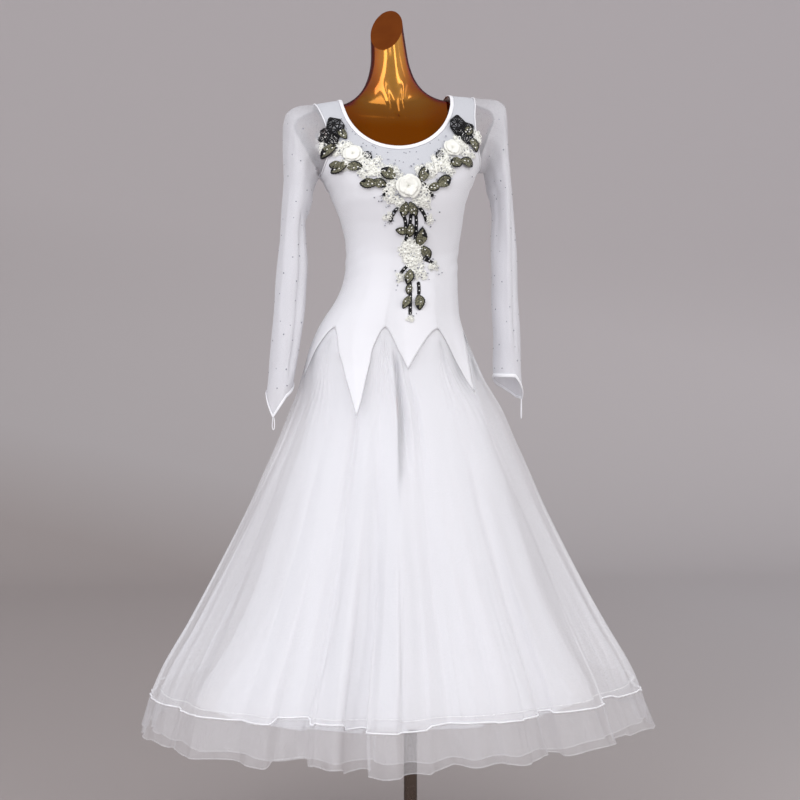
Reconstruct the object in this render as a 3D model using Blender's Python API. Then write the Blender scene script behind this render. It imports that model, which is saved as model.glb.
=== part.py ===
"""A ballroom dance dress on a limbless dress form with a pole stand.

Metres, +Z up. The front faces -Y, and +X is on the viewer's right. The origin is the middle of the base's
underside, on the pole's axis. An angle round the body is 0 degrees at the front and 90 on the +X side.
"""

from collections import namedtuple
from math import cos, pi, radians, sin

import bmesh
import bpy
import numpy as np
from mathutils import Vector
from mathutils.bvhtree import BVHTree

# ---- Cloth ----
CLOTH = 0.0015  # every cloth wall's thickness
CLEAR = 0.003  # from the body's surface to the cloth's inner face
SEAM_GAP = 0.0003
BINDING_WIDTH = 0.008  # of the neck's binding
CUFF_BINDING = 0.005
SHOULDER_TILT = 0.07  # the +X shoulder stands higher: rise for each metre across

# ---- Stand ----
BASE_RADIUS = 0.19
BASE_HEIGHT = 0.012
POLE_RADIUS = 0.0125
POLE_TOP = 0.744
COLLAR_RADIUS = 0.030
COLLAR_HEIGHT = 0.030
SOCKET_RADIUS = 0.028
SOCKET_HEIGHT = 0.045
ROUND_SIDES = 24

# ---- Body: level oval sections, from the top of the hips to the neck ----
# half is half the width, side_y where it is widest, front and back the depths from there,
# and roundness the power of the oval (2 is an ellipse)
Section = namedtuple("Section", "z centre_x half side_y front back roundness")

TRUNK = [
    Section(1.011, -0.0336, 0.1236, 0.008, 0.099, 0.097, 2.1),
    Section(1.039, -0.0262, 0.1124, 0.005, 0.091, 0.091, 2.1),
    Section(1.067, -0.0208, 0.1050, 0.002, 0.083, 0.082, 2.1),
    Section(1.095, -0.0178, 0.1012, -0.001, 0.077, 0.076, 2.1),
    Section(1.123, -0.0170, 0.1002, -0.002, 0.075, 0.072, 2.1),
    Section(1.151, -0.0155, 0.1020, -0.001, 0.082, 0.076, 2.1),
    Section(1.179, -0.0160, 0.1068, 0.000, 0.093, 0.082, 2.1),
    Section(1.207, -0.0185, 0.1124, 0.001, 0.106, 0.087, 2.2),
    Section(1.235, -0.0210, 0.1208, 0.002, 0.116, 0.091, 2.3),
    Section(1.263, -0.0212, 0.1332, 0.003, 0.117, 0.093, 2.4),
    Section(1.300, -0.0230, 0.1530, 0.004, 0.106, 0.094, 2.4),
    Section(1.330, -0.0240, 0.1690, 0.007, 0.091, 0.089, 2.4),
    Section(1.360, -0.0250, 0.1840, 0.011, 0.076, 0.080, 2.3),
    Section(1.385, -0.0265, 0.1950, 0.015, 0.062, 0.069, 2.2),
    Section(1.398, -0.0270, 0.1910, 0.017, 0.054, 0.060, 2.1),
    Section(1.408, -0.0280, 0.1745, 0.018, 0.049, 0.053, 2.0),
    Section(1.4165, -0.0290, 0.1495, 0.019, 0.044, 0.048, 2.0),
    Section(1.4215, -0.0300, 0.1045, 0.020, 0.042, 0.045, 2.0),
    Section(1.428, -0.0315, 0.0780, 0.020, 0.041, 0.043, 2.0),
    Section(1.438, -0.0330, 0.0570, 0.020, 0.040, 0.041, 2.0),
    Section(1.456, -0.0345, 0.0430, 0.020, 0.039, 0.039, 2.0),
    Section(1.497, -0.0365, 0.0350, 0.020, 0.037, 0.037, 2.0),
    Section(1.550, -0.0410, 0.0310, 0.020, 0.034, 0.034, 2.0),
    Section(1.620, -0.0460, 0.0270, 0.020, 0.030, 0.030, 2.0),
]

# The form under the skirt, from its flat underside
FORM_HIPS = [
    Section(0.7445, -0.0330, 0.0880, 0.008, 0.055, 0.065, 2.0),
    Section(0.7500, -0.0330, 0.1020, 0.008, 0.065, 0.077, 2.0),
    Section(0.7700, -0.0330, 0.1260, 0.008, 0.080, 0.096, 2.0),
    Section(0.8050, -0.0335, 0.1430, 0.008, 0.091, 0.110, 2.0),
    Section(0.8500, -0.0335, 0.1490, 0.008, 0.095, 0.116, 2.0),
    Section(0.9000, -0.0335, 0.1500, 0.008, 0.098, 0.117, 2.1),
    Section(0.9350, -0.0345, 0.1470, 0.008, 0.098, 0.115, 2.1),
    Section(0.9600, -0.0360, 0.1425, 0.009, 0.100, 0.109, 2.1),
    Section(0.9830, -0.0365, 0.1350, 0.009, 0.101, 0.104, 2.1),
]

# What the dress hangs on below the waist: the cloth's inner face stands CLEAR outside these
SKIRT = [
    Section(0.240, -0.0215, 0.4730, 0.000, 0.452, 0.454, 2.0),
    Section(0.322, -0.0274, 0.4480, 0.000, 0.428, 0.430, 2.0),
    Section(0.365, -0.0265, 0.4305, 0.000, 0.411, 0.413, 2.0),
    Section(0.450, -0.0260, 0.3820, 0.000, 0.364, 0.367, 2.0),
    Section(0.562, -0.0260, 0.3230, 0.000, 0.302, 0.307, 2.0),
    Section(0.674, -0.0255, 0.2680, 0.001, 0.242, 0.248, 2.0),
    Section(0.730, -0.0250, 0.2440, 0.002, 0.214, 0.221, 2.0),
    Section(0.786, -0.0248, 0.2190, 0.004, 0.184, 0.194, 2.0),
    Section(0.842, -0.0255, 0.1955, 0.006, 0.156, 0.168, 2.0),
    Section(0.870, -0.0280, 0.1815, 0.007, 0.141, 0.154, 2.0),
    Section(0.898, -0.0320, 0.1690, 0.008, 0.128, 0.141, 2.0),
    Section(0.926, -0.0345, 0.1586, 0.008, 0.116, 0.129, 2.0),
    Section(0.955, -0.0368, 0.1475, 0.008, 0.108, 0.118, 2.1),
    Section(0.983, -0.0368, 0.1358, 0.008, 0.103, 0.107, 2.1),
]

# ---- Skirt folds: gentle flutes that deepen towards the hem ----
# out is how far the crest stands out at the hem, and is negative for a valley
Fold = namedtuple("Fold", "angle width out")

FOLDS = [
    Fold(-8, 5.0, 0.016),
    Fold(-17, 2.8, -0.020),
    Fold(-22, 3.2, 0.008),
    Fold(-28, 3.0, -0.012),
    Fold(-38, 5.0, 0.008),
    Fold(-45, 3.2, -0.010),
    Fold(-58, 6.0, 0.010),
    Fold(-69, 4.0, -0.014),
    Fold(-84, 6.5, 0.009),
    Fold(-99, 4.5, -0.015),
    Fold(-113, 6.0, 0.012),
    Fold(-127, 3.5, -0.017),
    Fold(-139, 5.5, 0.011),
    Fold(-151, 3.6, -0.013),
    Fold(-163, 5.5, 0.013),
    Fold(-175, 3.4, -0.018),
    Fold(174, 4.8, 0.009),
    Fold(161, 3.8, -0.012),
    Fold(148, 6.0, 0.014),
    Fold(134, 4.0, -0.016),
    Fold(119, 6.0, 0.010),
    Fold(105, 4.2, -0.014),
    Fold(90, 6.5, 0.009),
    Fold(75, 4.0, -0.013),
    Fold(61, 5.0, 0.011),
    Fold(49, 3.4, -0.012),
    Fold(38, 5.0, 0.013),
    Fold(25, 3.0, -0.015),
    Fold(15, 5.0, 0.008),
    Fold(2, 3.0, -0.015),
]
FOLD_TOP = 0.95  # no folds above
FOLD_FULL = 0.34  # full depth from here down
UNDER_FOLDS = 0.7  # the underskirt's folds, as a share of the skirt's

# ---- Godets: each runs from one petal's tip over a peak to the next tip ----
Godet = namedtuple("Godet", "tip tip_z peak peak_z")

GODETS = [
    Godet(-82, 0.905, -57, 0.992),
    Godet(-29, 0.830, -11, 0.992),
    Godet(9, 0.915, 31, 0.990),
    Godet(46, 0.874, 75, 0.988),
    Godet(98, 0.880, 120, 0.990),
    Godet(143, 0.862, 166, 0.992),
    Godet(188, 0.880, 211, 0.992),
    Godet(233, 0.866, 255, 0.990),
]
PETAL_STEPS = [0.0, 0.10, 0.32, 0.62, 1.0]  # shares of the drop from a peak to a tip
PETAL_POWER = 0.6  # under 1 rounds the godet's head
SEAM_Z = 0.332  # where the braid is sewn on, at the middle
SEAM_RISE = 0.008  # the +X side hangs higher by this
BRAID_DROP = 0.066
PLEAT_DROP = 0.016  # the front pleat hangs lower by this
PLEAT_ANGLE = -8
PLEAT_WIDTH = 4.5
GODET_ROWS = 6
UNDER_COLUMNS = 64
UNDER_ROWS = 5
UNDER_TOP = 0.935
UNDER_GAP = 0.013  # between the skirt and the underskirt, low down
UNDER_TOP_GAP = 0.0014

# ---- Neck and armholes, from the body's middle line, before the shoulders tilt ----
NECK_HALF = 0.1045
NECK_Z = 1.4215
NECK_DROP_FRONT = 0.098
NECK_DROP_BACK = 0.030
NECK_EVEN = 0.12  # draws the neckline's places out towards the shoulders
RIDGE = TRUNK[16:20]  # the shoulders' crest, from the armholes in to the neck
V_POINT_Z = 1.262  # the yoke's lower point
V_CURVE = 0.80
Spot = namedtuple("Spot", "across z")

ARMHOLE_FRONT = [
    Spot(0.1495, 1.4165),
    Spot(0.1475, 1.4100),
    Spot(0.1440, 1.3960),
    Spot(0.1375, 1.3700),
    Spot(0.1350, 1.3430),
    Spot(0.1360, 1.3180),
    Spot(0.1410, 1.2980),
    Spot(0.1450, 1.2830),
]
ARMHOLE_BACK = [
    Spot(0.1495, 1.4165),
    Spot(0.1485, 1.4100),
    Spot(0.1470, 1.3960),
    Spot(0.1440, 1.3700),
    Spot(0.1425, 1.3430),
    Spot(0.1430, 1.3180),
    Spot(0.1445, 1.2980),
    Spot(0.1450, 1.2830),
]
ARMPIT = len(ARMHOLE_FRONT) - 1
YOKE_STEP = 4  # the V seam meets the armhole at this spot
V_STEPS = 26
SHOULDER_STEPS = 2
BACK_NECK_STEPS = 14
BUST_Z = 1.245
BODICE_LOW_ROWS = 7
BODICE_TOP_ROWS = 5
SKIRT_EASE = 1.5  # over 1 draws the skirt's rows together towards its upper edge
SHOULDER_EASE = 0.005  # the form's shoulders stand this far in from the dress's own shape

# ---- Sleeves: rings through an outer and an inner place, after the armhole's own ----
Ring = namedtuple("Ring", "outer_x outer_z inner_x inner_z middle_y half_depth")

SLEEVE_LEFT = [
    Ring(-0.2070, 1.4040, -0.1750, 1.2640, 0.010, 0.058),
    Ring(-0.2290, 1.3870, -0.1800, 1.2500, 0.010, 0.060),
    Ring(-0.2375, 1.3600, -0.1835, 1.2390, 0.009, 0.061),
    Ring(-0.2380, 1.3200, -0.1850, 1.2280, 0.008, 0.060),
    Ring(-0.2370, 1.2750, -0.1900, 1.2100, 0.006, 0.058),
    Ring(-0.2400, 1.2250, -0.1975, 1.1850, 0.004, 0.055),
    Ring(-0.2440, 1.1750, -0.1975, 1.1500, 0.001, 0.051),
    Ring(-0.2495, 1.1200, -0.1950, 1.1100, -0.002, 0.048),
    Ring(-0.2550, 1.0500, -0.1985, 1.0500, -0.006, 0.044),
    Ring(-0.2605, 0.9750, -0.2065, 0.9750, -0.010, 0.041),
]
SLEEVE_RIGHT = [
    Ring(0.1560, 1.4265, 0.1440, 1.2900, 0.010, 0.058),
    Ring(0.1770, 1.4130, 0.1480, 1.2750, 0.010, 0.060),
    Ring(0.1835, 1.3850, 0.1510, 1.2640, 0.009, 0.061),
    Ring(0.1850, 1.3450, 0.1530, 1.2520, 0.008, 0.060),
    Ring(0.1870, 1.2950, 0.1590, 1.2320, 0.006, 0.058),
    Ring(0.1925, 1.2400, 0.1600, 1.2060, 0.004, 0.055),
    Ring(0.1975, 1.1850, 0.1575, 1.1650, 0.001, 0.051),
    Ring(0.2005, 1.1250, 0.1560, 1.1200, -0.002, 0.048),
    Ring(0.2025, 1.0500, 0.1560, 1.0500, -0.006, 0.044),
    Ring(0.2055, 0.9850, 0.1575, 0.9850, -0.010, 0.041),
]
CUFF_LEFT = Ring(-0.2705, 0.0, -0.2225, 0.0, -0.014, 0.039)
CUFF_RIGHT = Ring(0.2095, 0.0, 0.1570, 0.0, -0.014, 0.039)
SLEEVE_SIDES = 2 * ARMPIT
SLEEVE_LAP = 0.0006  # a sleeve's head stands this far out from the bodice's armhole edge
SLEEVE_START = 0.0011  # and starts this far beyond it
CUFF_LEFT_POINT = 2 / SLEEVE_SIDES  # the share of the way round where the cuff comes to a point
CUFF_RIGHT_POINT = 0.0
# The cuff's height by the share of the way round from the outer side, over the front
CUFF_LEFT_Z = [
    (0.0, 0.868),
    (CUFF_LEFT_POINT, 0.828),
    (0.30, 0.866),
    (0.5, 0.889),
    (0.75, 0.885),
    (1.0, 0.868),
]
CUFF_RIGHT_Z = [
    (CUFF_RIGHT_POINT, 0.862),
    (0.22, 0.903),
    (0.5, 0.905),
    (0.75, 0.884),
    (0.90, 0.866),
    (1.0, 0.862),
]
LOOP_LEFT_LENGTH = 0.022
LOOP_RIGHT_LENGTH = 0.036
LOOP_RADIUS = 0.0009
LOOP_WIDTH = 0.010
LOOP_FOOT = 0.30  # how close its two ends are, as a share of its width

# ---- Raised appliques: a spine up the chest, and how far they reach each side of it ----
# across is from the body's middle line
Stem = namedtuple("Stem", "across z reach")
Bloom = namedtuple("Bloom", "across z radius height")

APPLIQUE_CENTRE = [
    Stem(0.004, 1.282, 0.020),
    Stem(0.004, 1.262, 0.032),
    Stem(0.004, 1.238, 0.030),
    Stem(0.008, 1.205, 0.022),
    Stem(0.012, 1.170, 0.018),
    Stem(0.013, 1.135, 0.030),
    Stem(0.014, 1.105, 0.020),
    Stem(0.015, 1.065, 0.012),
    Stem(0.016, 1.022, 0.004),
]
APPLIQUE_LEFT = [
    Stem(-0.121, 1.366, 0.011),
    Stem(-0.109, 1.348, 0.019),
    Stem(-0.091, 1.330, 0.024),
    Stem(-0.068, 1.316, 0.026),
    Stem(-0.047, 1.300, 0.022),
    Stem(-0.030, 1.287, 0.012),
]
APPLIQUE_RIGHT = [
    Stem(0.124, 1.364, 0.011),
    Stem(0.112, 1.346, 0.019),
    Stem(0.096, 1.329, 0.024),
    Stem(0.076, 1.314, 0.026),
    Stem(0.056, 1.298, 0.022),
    Stem(0.040, 1.286, 0.012),
]
BLOOMS = [
    Bloom(0.004, 1.258, 0.022, 0.0065),
    Bloom(-0.090, 1.332, 0.017, 0.0050),
    Bloom(0.098, 1.332, 0.017, 0.0050),
    Bloom(0.013, 1.132, 0.016, 0.0045),
]
APPLIQUE_THICK = 0.0016
APPLIQUE_LIFT = 0.0010  # off the cloth under it
APPLIQUE_COLUMNS = 6
APPLIQUE_ROW = 0.013

# ---- Neck's slanted cut ----
NECK_CUT_AT = (-0.0415, 0.020, 1.558)
NECK_CUT_NORMAL = (-0.43, -0.74, 0.62)
FORM_COLUMNS = 28
Band = namedtuple("Band", "low_z high_z rows")

FORM_BANDS = [Band(0.7445, 1.24, 14), Band(1.24, 1.43, 8), Band(1.43, 1.62, 6)]


def clear_scene():
    for thing in list(bpy.data.objects):
        bpy.data.objects.remove(thing, do_unlink=True)


def material(name, colour, roughness, metallic=0.0):
    made = bpy.data.materials.new(name)
    made.use_nodes = True
    shader = made.node_tree.nodes["Principled BSDF"]
    shader.inputs["Base Color"].default_value = (*colour, 1.0)
    shader.inputs["Roughness"].default_value = roughness
    shader.inputs["Metallic"].default_value = metallic
    return made


def smooth_step(share):
    share = np.clip(share, 0.0, 1.0)
    return share * share * (3.0 - 2.0 * share)


def through(xs, ys, x):
    """A smooth curve through rows that rises and falls only where they do."""
    xs = np.asarray(xs, float)
    ys = np.asarray(ys, float)
    step = np.diff(xs)
    slope = np.diff(ys) / step
    turn = np.zeros(len(xs))
    turn[0] = slope[0]
    turn[-1] = slope[-1]
    for i in range(1, len(xs) - 1):
        if slope[i - 1] * slope[i] > 0:
            before = 2 * step[i] + step[i - 1]
            after = step[i] + 2 * step[i - 1]
            turn[i] = (before + after) / (before / slope[i - 1] + after / slope[i])
    x = np.clip(x, xs[0], xs[-1])
    at = np.clip(np.searchsorted(xs, x, side="right") - 1, 0, len(xs) - 2)
    t = (x - xs[at]) / step[at]
    low = (1 + 2 * t) * (1 - t) ** 2 * ys[at] + t * (1 - t) ** 2 * step[at] * turn[at]
    high = t * t * (3 - 2 * t) * ys[at + 1] + t * t * (t - 1) * step[at] * turn[at + 1]
    return low + high


class Surface:
    """The smooth surface through a list of sections."""

    def __init__(self, sections):
        self.sections = sections
        self.z = [s.z for s in sections]
        fine = np.linspace(self.z[0], self.z[-1], 1200)
        half = self.column("half", fine)
        steps = np.hypot(np.diff(fine), np.diff(half))
        self.fine_z = fine
        self.fine_reach = np.concatenate([[0.0], np.cumsum(steps)])

    def column(self, name, z):
        return through(self.z, [getattr(s, name) for s in self.sections], z)

    def reach(self, z):
        """Length along the side, from the lowest section up to this height."""
        return np.interp(z, self.fine_z, self.fine_reach)

    def height(self, reach):
        return np.interp(reach, self.fine_reach, self.fine_z)

    def angle(self, across, z, at_back=False):
        """The angle of a place this far across from the middle line, on the front or the back."""
        share = np.minimum(1.0, np.abs(across) / self.column("half", z))
        turned = np.degrees(np.arcsin(share ** (self.column("roundness", z) / 2))) * np.sign(across)
        return 180 - turned if at_back else turned

    def across(self, angle, z):
        """How far a place lies from the middle line, towards +X."""
        s = np.sin(np.radians(angle))
        return np.sign(s) * np.abs(s) ** (2.0 / self.column("roundness", z)) * self.column("half", z)

    def bare(self, angle, z, folds):
        turn = np.radians(angle)
        power = 2.0 / self.column("roundness", z)
        c = np.cos(turn)
        out = fold_depth(angle, z) * folds
        depth = np.where(c > 0, self.column("front", z), self.column("back", z)) + out
        across = self.across(angle, z) * (1 + out / self.column("half", z))
        along = -np.sign(c) * np.abs(c) ** power * depth
        centre = self.column("centre_x", z)
        tilt = SHOULDER_TILT * smooth_step((z - 1.18) / 0.18)
        return np.stack([centre + across, self.column("side_y", z) + along, z + tilt * across], -1)

    def point(self, angle, z, out=0.0, folds=1.0):
        """A place on the surface, moved out along its normal."""
        angle = np.asarray(angle, float)
        z = np.asarray(z, float)
        round_it = self.bare(angle + 0.5, z, folds) - self.bare(angle - 0.5, z, folds)
        upwards = self.bare(angle, z + 0.0008, folds) - self.bare(angle, z - 0.0008, folds)
        normal = np.cross(round_it, upwards)
        normal /= np.maximum(np.linalg.norm(normal, axis=-1, keepdims=True), 1e-12)
        return self.bare(angle, z, folds) + normal * np.asarray(out)[..., None]


def fold_depth(angle, z):
    """How far the skirt's folds stand out here, negative in a valley."""
    grow = smooth_step((FOLD_TOP - z) / (FOLD_TOP - FOLD_FULL)) ** 0.8
    depth = np.zeros(np.broadcast(angle, z).shape)
    for fold in FOLDS:
        away = (np.asarray(angle) - fold.angle + 180) % 360 - 180
        depth = depth + fold.out * np.exp(-((away / fold.width) ** 2))
    return depth * grow


def eased(section):
    """A section of the form's trunk, drawn in round the shoulders, where the cloth bridges."""
    share = float(smooth_step((section.z - 1.28) / 0.08) * smooth_step((1.456 - section.z) / 0.035))
    ease = SHOULDER_EASE * share
    return section._replace(
        z=section.z - ease,
        half=section.half - ease,
        front=section.front - ease,
        back=section.back - ease,
    )


FORM = Surface(FORM_HIPS + [eased(section) for section in TRUNK])
DRESS = Surface(SKIRT + TRUNK)


# ---- Making solids ----


def add_object(name, vertices, faces, look):
    mesh = bpy.data.meshes.new(name)
    mesh.from_pydata([tuple(map(float, v)) for v in vertices], [], faces)
    made = bpy.data.objects.new(name, mesh)
    bpy.context.scene.collection.objects.link(made)
    mesh.materials.append(look)
    mesh.shade_smooth()
    return made


def squares(a, b, c, d):
    return [(a, b, c), (a, c, d)]


def wall(name, inner, outer, look, closed=False):
    """A cloth wall between two grids of points, indexed [column][row]: columns run round, rows run up."""
    columns, rows = inner.shape[:2]
    count = columns * rows
    vertices = list(outer.reshape(-1, 3)) + list(inner.reshape(-1, 3))
    faces = []

    def at(column, row):
        return (column % columns) * rows + row

    spans = columns if closed else columns - 1
    for c in range(spans):
        for r in range(rows - 1):
            corner = [at(c, r), at(c + 1, r), at(c + 1, r + 1), at(c, r + 1)]
            faces += squares(*corner)
            faces += [tuple(reversed([v + count for v in face])) for face in squares(*corner)]
        faces += squares(at(c, 0) + count, at(c + 1, 0) + count, at(c + 1, 0), at(c, 0))
        top = rows - 1
        faces += squares(at(c, top), at(c + 1, top), at(c + 1, top) + count, at(c, top) + count)
    if not closed:
        last = columns - 1
        for r in range(rows - 1):
            faces += squares(at(0, r), at(0, r + 1), at(0, r + 1) + count, at(0, r) + count)
            faces += squares(at(last, r + 1), at(last, r), at(last, r) + count, at(last, r + 1) + count)
    return add_object(name, vertices, faces, look)


def between(lower, upper, rows, ease):
    """Angles and heights of a grid between two edges, each a list of (angle, height)."""
    low = np.array(lower, float)
    high = np.array(upper, float)
    share = 1 - (1 - np.linspace(0, 1, rows + 1)) ** ease
    angle = low[:, None, 0] + (high - low)[:, None, 0] * share
    start = DRESS.reach(low[:, 1])
    end = DRESS.reach(high[:, 1])
    reach = start[:, None] + (end - start)[:, None] * share
    return angle, DRESS.height(reach)


def straight(lower, upper, rows, at_back):
    """A grid whose columns run straight between two edges, as seen from the front or the back."""
    low = np.array(lower, float)
    high = np.array(upper, float)
    share = np.linspace(0, 1, rows + 1)
    start = DRESS.reach(low[:, 1])
    end = DRESS.reach(high[:, 1])
    z = DRESS.height(start[:, None] + (end - start)[:, None] * share)
    low_across = DRESS.across(low[:, 0], low[:, 1])
    high_across = DRESS.across(high[:, 0], high[:, 1])
    across = low_across[:, None] + (high_across - low_across)[:, None] * share
    angle = DRESS.angle(across, z, at_back)
    angle[:, 0] = low[:, 0]
    angle[:, -1] = high[:, 0]
    on_side = np.isclose(low[:, 0], high[:, 0], atol=0.2) & np.isclose(abs(low[:, 0] % 180), 90, atol=0.2)
    angle[on_side] = low[on_side, 0][:, None]
    return angle, z


def trim_sides(angle, z):
    """Draws a panel's two side edges in by half a seam gap."""
    half = DRESS.column("half", z)
    shift = np.degrees(SEAM_GAP / 2 / half)
    angle = angle.copy()
    angle[0] += shift[0]
    angle[-1] -= shift[-1]
    return angle


def panel(name, angle, z, look, halve_columns=False):
    """A panel of the dress through a grid of angles and heights, with a seam at each end."""
    angle = trim_sides(angle, z)
    inner = DRESS.point(angle, z, CLEAR)
    outer = DRESS.point(angle, z, CLEAR + CLOTH)
    if halve_columns:
        for grid in (inner, outer):
            grid[1:-1:2, -1] = (grid[0:-2:2, -1] + grid[2::2, -1]) / 2
    return wall(name, inner, outer, look)


def moved_edge(edge, distance, closed):
    """An edge of (angle, height) places, moved sideways on the cloth: left of its direction for +."""
    places = np.array(edge, float)
    half = DRESS.column("half", places[:, 1])
    flat = np.stack([np.radians(places[:, 0]) * half.mean(), DRESS.reach(places[:, 1])], -1)
    around = np.radians(360) * half.mean()
    before = np.roll(flat, 1, axis=0)
    after = np.roll(flat, -1, axis=0)
    if closed:
        before[0, 0] -= around
        after[-1, 0] += around
    else:
        before[0] = 2 * flat[0] - flat[1]
        after[-1] = 2 * flat[-1] - flat[-2]
    ahead = after - flat
    behind = flat - before
    ahead /= np.linalg.norm(ahead, axis=1, keepdims=True)
    behind /= np.linalg.norm(behind, axis=1, keepdims=True)
    side = np.stack([-(ahead + behind)[:, 1], (ahead + behind)[:, 0]], -1)
    side /= np.linalg.norm(side, axis=1, keepdims=True)
    level = np.stack([-ahead[:, 1], ahead[:, 0]], -1)
    mitre = np.maximum((side * level).sum(1), 0.25)
    flat = flat + side * (distance / mitre)[:, None]
    angle = np.degrees(flat[:, 0] / half.mean())
    return list(zip(angle, DRESS.height(flat[:, 1])))


# ---- Edges of the dress's panels ----


def petal_edge():
    """The pointed seam round the hips, from the first tip once round, as (angle, height)."""
    edge = []
    steps = len(PETAL_STEPS) - 1
    for i, godet in enumerate(GODETS):
        following = GODETS[(i + 1) % len(GODETS)]
        next_tip = following.tip + (360 if i + 1 == len(GODETS) else 0)
        for share in reversed(PETAL_STEPS[1:]):
            across = share**PETAL_POWER
            edge.append(
                (
                    godet.peak + (godet.tip - godet.peak) * across,
                    godet.peak_z + (godet.tip_z - godet.peak_z) * share,
                )
            )
        for share in PETAL_STEPS[:steps]:
            across = share**PETAL_POWER
            edge.append(
                (
                    godet.peak + (next_tip - godet.peak) * across,
                    godet.peak_z + (following.tip_z - godet.peak_z) * share,
                )
            )
    return edge


def seam_height(angle):
    """Where the braid's seam runs: higher on the +X side, lower on the front pleat."""
    turn = np.radians(angle)
    away = (np.asarray(angle) - PLEAT_ANGLE + 180) % 360 - 180
    pleat = PLEAT_DROP * np.exp(-((away / PLEAT_WIDTH) ** 4))
    return SEAM_Z + SEAM_RISE * np.sin(turn) - pleat


def armhole_edge(side, at_back=False):
    """From the shoulder down to the armpit. side is 1 at +X and -1 at -X."""
    spots = ARMHOLE_BACK if at_back else ARMHOLE_FRONT
    edge = []
    for i, spot in enumerate(spots):
        angle = float(DRESS.angle(side * spot.across, spot.z, at_back))
        if i in (0, ARMPIT):
            angle = 180.0 - 90.0 * side if at_back else 90.0 * side
        edge.append((angle, spot.z))
    return edge


def neck_edge(steps, grow, at_back=False):
    """The neckline from -X to +X over the front, or from +X to -X over the back; grow makes it narrower."""
    drop = (NECK_DROP_BACK if at_back else NECK_DROP_FRONT) - grow
    half = NECK_HALF - grow
    ridge = float(np.interp(-half, [-s.half for s in RIDGE], [s.z for s in RIDGE]))
    bottom = NECK_Z - drop
    edge = []
    for i in range(steps + 1):
        turn = pi * (i / steps - NECK_EVEN * sin(2 * pi * i / steps))
        z = ridge - (ridge - bottom) * sin(turn)
        angle = float(DRESS.angle(-half * cos(turn), z))
        if i in (0, steps):
            angle = -90.0 if i == 0 else 90.0
        edge.append((angle + 180 if at_back else angle, z))
    return edge


def v_edge():
    """The yoke's lower seam from the -X armhole down to the V's point and up to the +X one."""
    start = ARMHOLE_FRONT[YOKE_STEP]
    edge = []
    for i in range(V_STEPS + 1):
        share = 2 * i / V_STEPS - 1
        across = start.across * share
        z = V_POINT_Z + (start.z - V_POINT_Z) * abs(share) ** (1 / V_CURVE)
        edge.append((float(DRESS.angle(across, z)), z))
    return edge


def shoulder_edge(side, steps):
    """Along the shoulder from the armhole to the neckline, as (angle, height)."""
    start = ARMHOLE_FRONT[0].z
    angle = 90.0 if side > 0 else -90.0
    reach = np.linspace(DRESS.reach(start), DRESS.reach(NECK_Z), steps + 1)
    return [(angle, float(DRESS.height(r))) for r in reach]


# ---- The dress ----


def bodice_panel(name, low, top, first_angle, look):
    """Half of the bodice: even columns at the bust, drawn to the petals below and the armholes above."""
    bust = [(first_angle + 180 * i / (len(low) - 1), BUST_Z) for i in range(len(low))]
    low_angle, low_z = between(low, bust, BODICE_LOW_ROWS, 1.0)
    top_angle, top_z = straight(bust, top, BODICE_TOP_ROWS, at_back=first_angle > 0)
    angle = np.concatenate([low_angle[:, :-1], top_angle], axis=1)
    panel(name, angle, np.concatenate([low_z[:, :-1], top_z], axis=1), look)


def build_bodice(look):
    edge = petal_edge()
    half = len(edge) // 2
    lifted = moved_edge(edge, SEAM_GAP / 2, closed=True)
    front_low = lifted[: half + 1]
    back_low = lifted[half:] + [(lifted[0][0] + 360, lifted[0][1])]
    left = armhole_edge(-1)
    right = armhole_edge(1)
    front_top = left[:YOKE_STEP:-1] + v_edge() + right[YOKE_STEP + 1 :]
    front_top = moved_edge(front_top, -SEAM_GAP / 2, closed=False)
    bodice_panel("bodice_front", front_low, front_top, -90, look)
    rear_right = armhole_edge(1, at_back=True)
    rear_left = armhole_edge(-1, at_back=True)
    ridge = shoulder_edge(1, SHOULDER_STEPS)
    neck = neck_edge(BACK_NECK_STEPS, 0.0, at_back=True)
    far_ridge = [(270.0, z) for _, z in reversed(ridge)]
    back_top = rear_right[:0:-1] + ridge[:-1] + neck + far_ridge[1:] + rear_left[1:]
    back_top = moved_edge(back_top, -SEAM_GAP / 2, closed=False)
    bodice_panel("bodice_back", back_low, back_top, 90, look)


def build_yoke(look):
    left = armhole_edge(-1)[: YOKE_STEP + 1]
    right = armhole_edge(1)[: YOKE_STEP + 1]
    lower = left[:-1] + v_edge() + right[-2::-1]
    upper = neck_edge(len(lower) - 1, 0.0)
    lower = moved_edge(lower, SEAM_GAP / 2, closed=False)
    upper = moved_edge(upper, -SEAM_GAP / 2, closed=False)
    angle, z = straight(lower, upper, SHOULDER_STEPS, at_back=False)
    panel("yoke_front", angle, z, look)


def build_neck_binding(look):
    """A band round the neckline, laid over the cut edges of the yoke and the back."""
    steps = V_STEPS + 2 * YOKE_STEP
    loops = []
    for grow in (0.0, BINDING_WIDTH):
        front = neck_edge(steps, grow)
        back = neck_edge(BACK_NECK_STEPS, grow, at_back=True)
        loops.append(front[:-1] + back[:-1])
    low = np.array(moved_edge(loops[0], SEAM_GAP, closed=True))
    high = np.array(loops[1])
    angle = np.stack([low[:, 0], high[:, 0]], 1)
    z = np.stack([low[:, 1], high[:, 1]], 1)
    over = CLEAR + CLOTH + SEAM_GAP
    wall("neck_binding", DRESS.point(angle, z, over), DRESS.point(angle, z, over + CLOTH), look, True)


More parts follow.
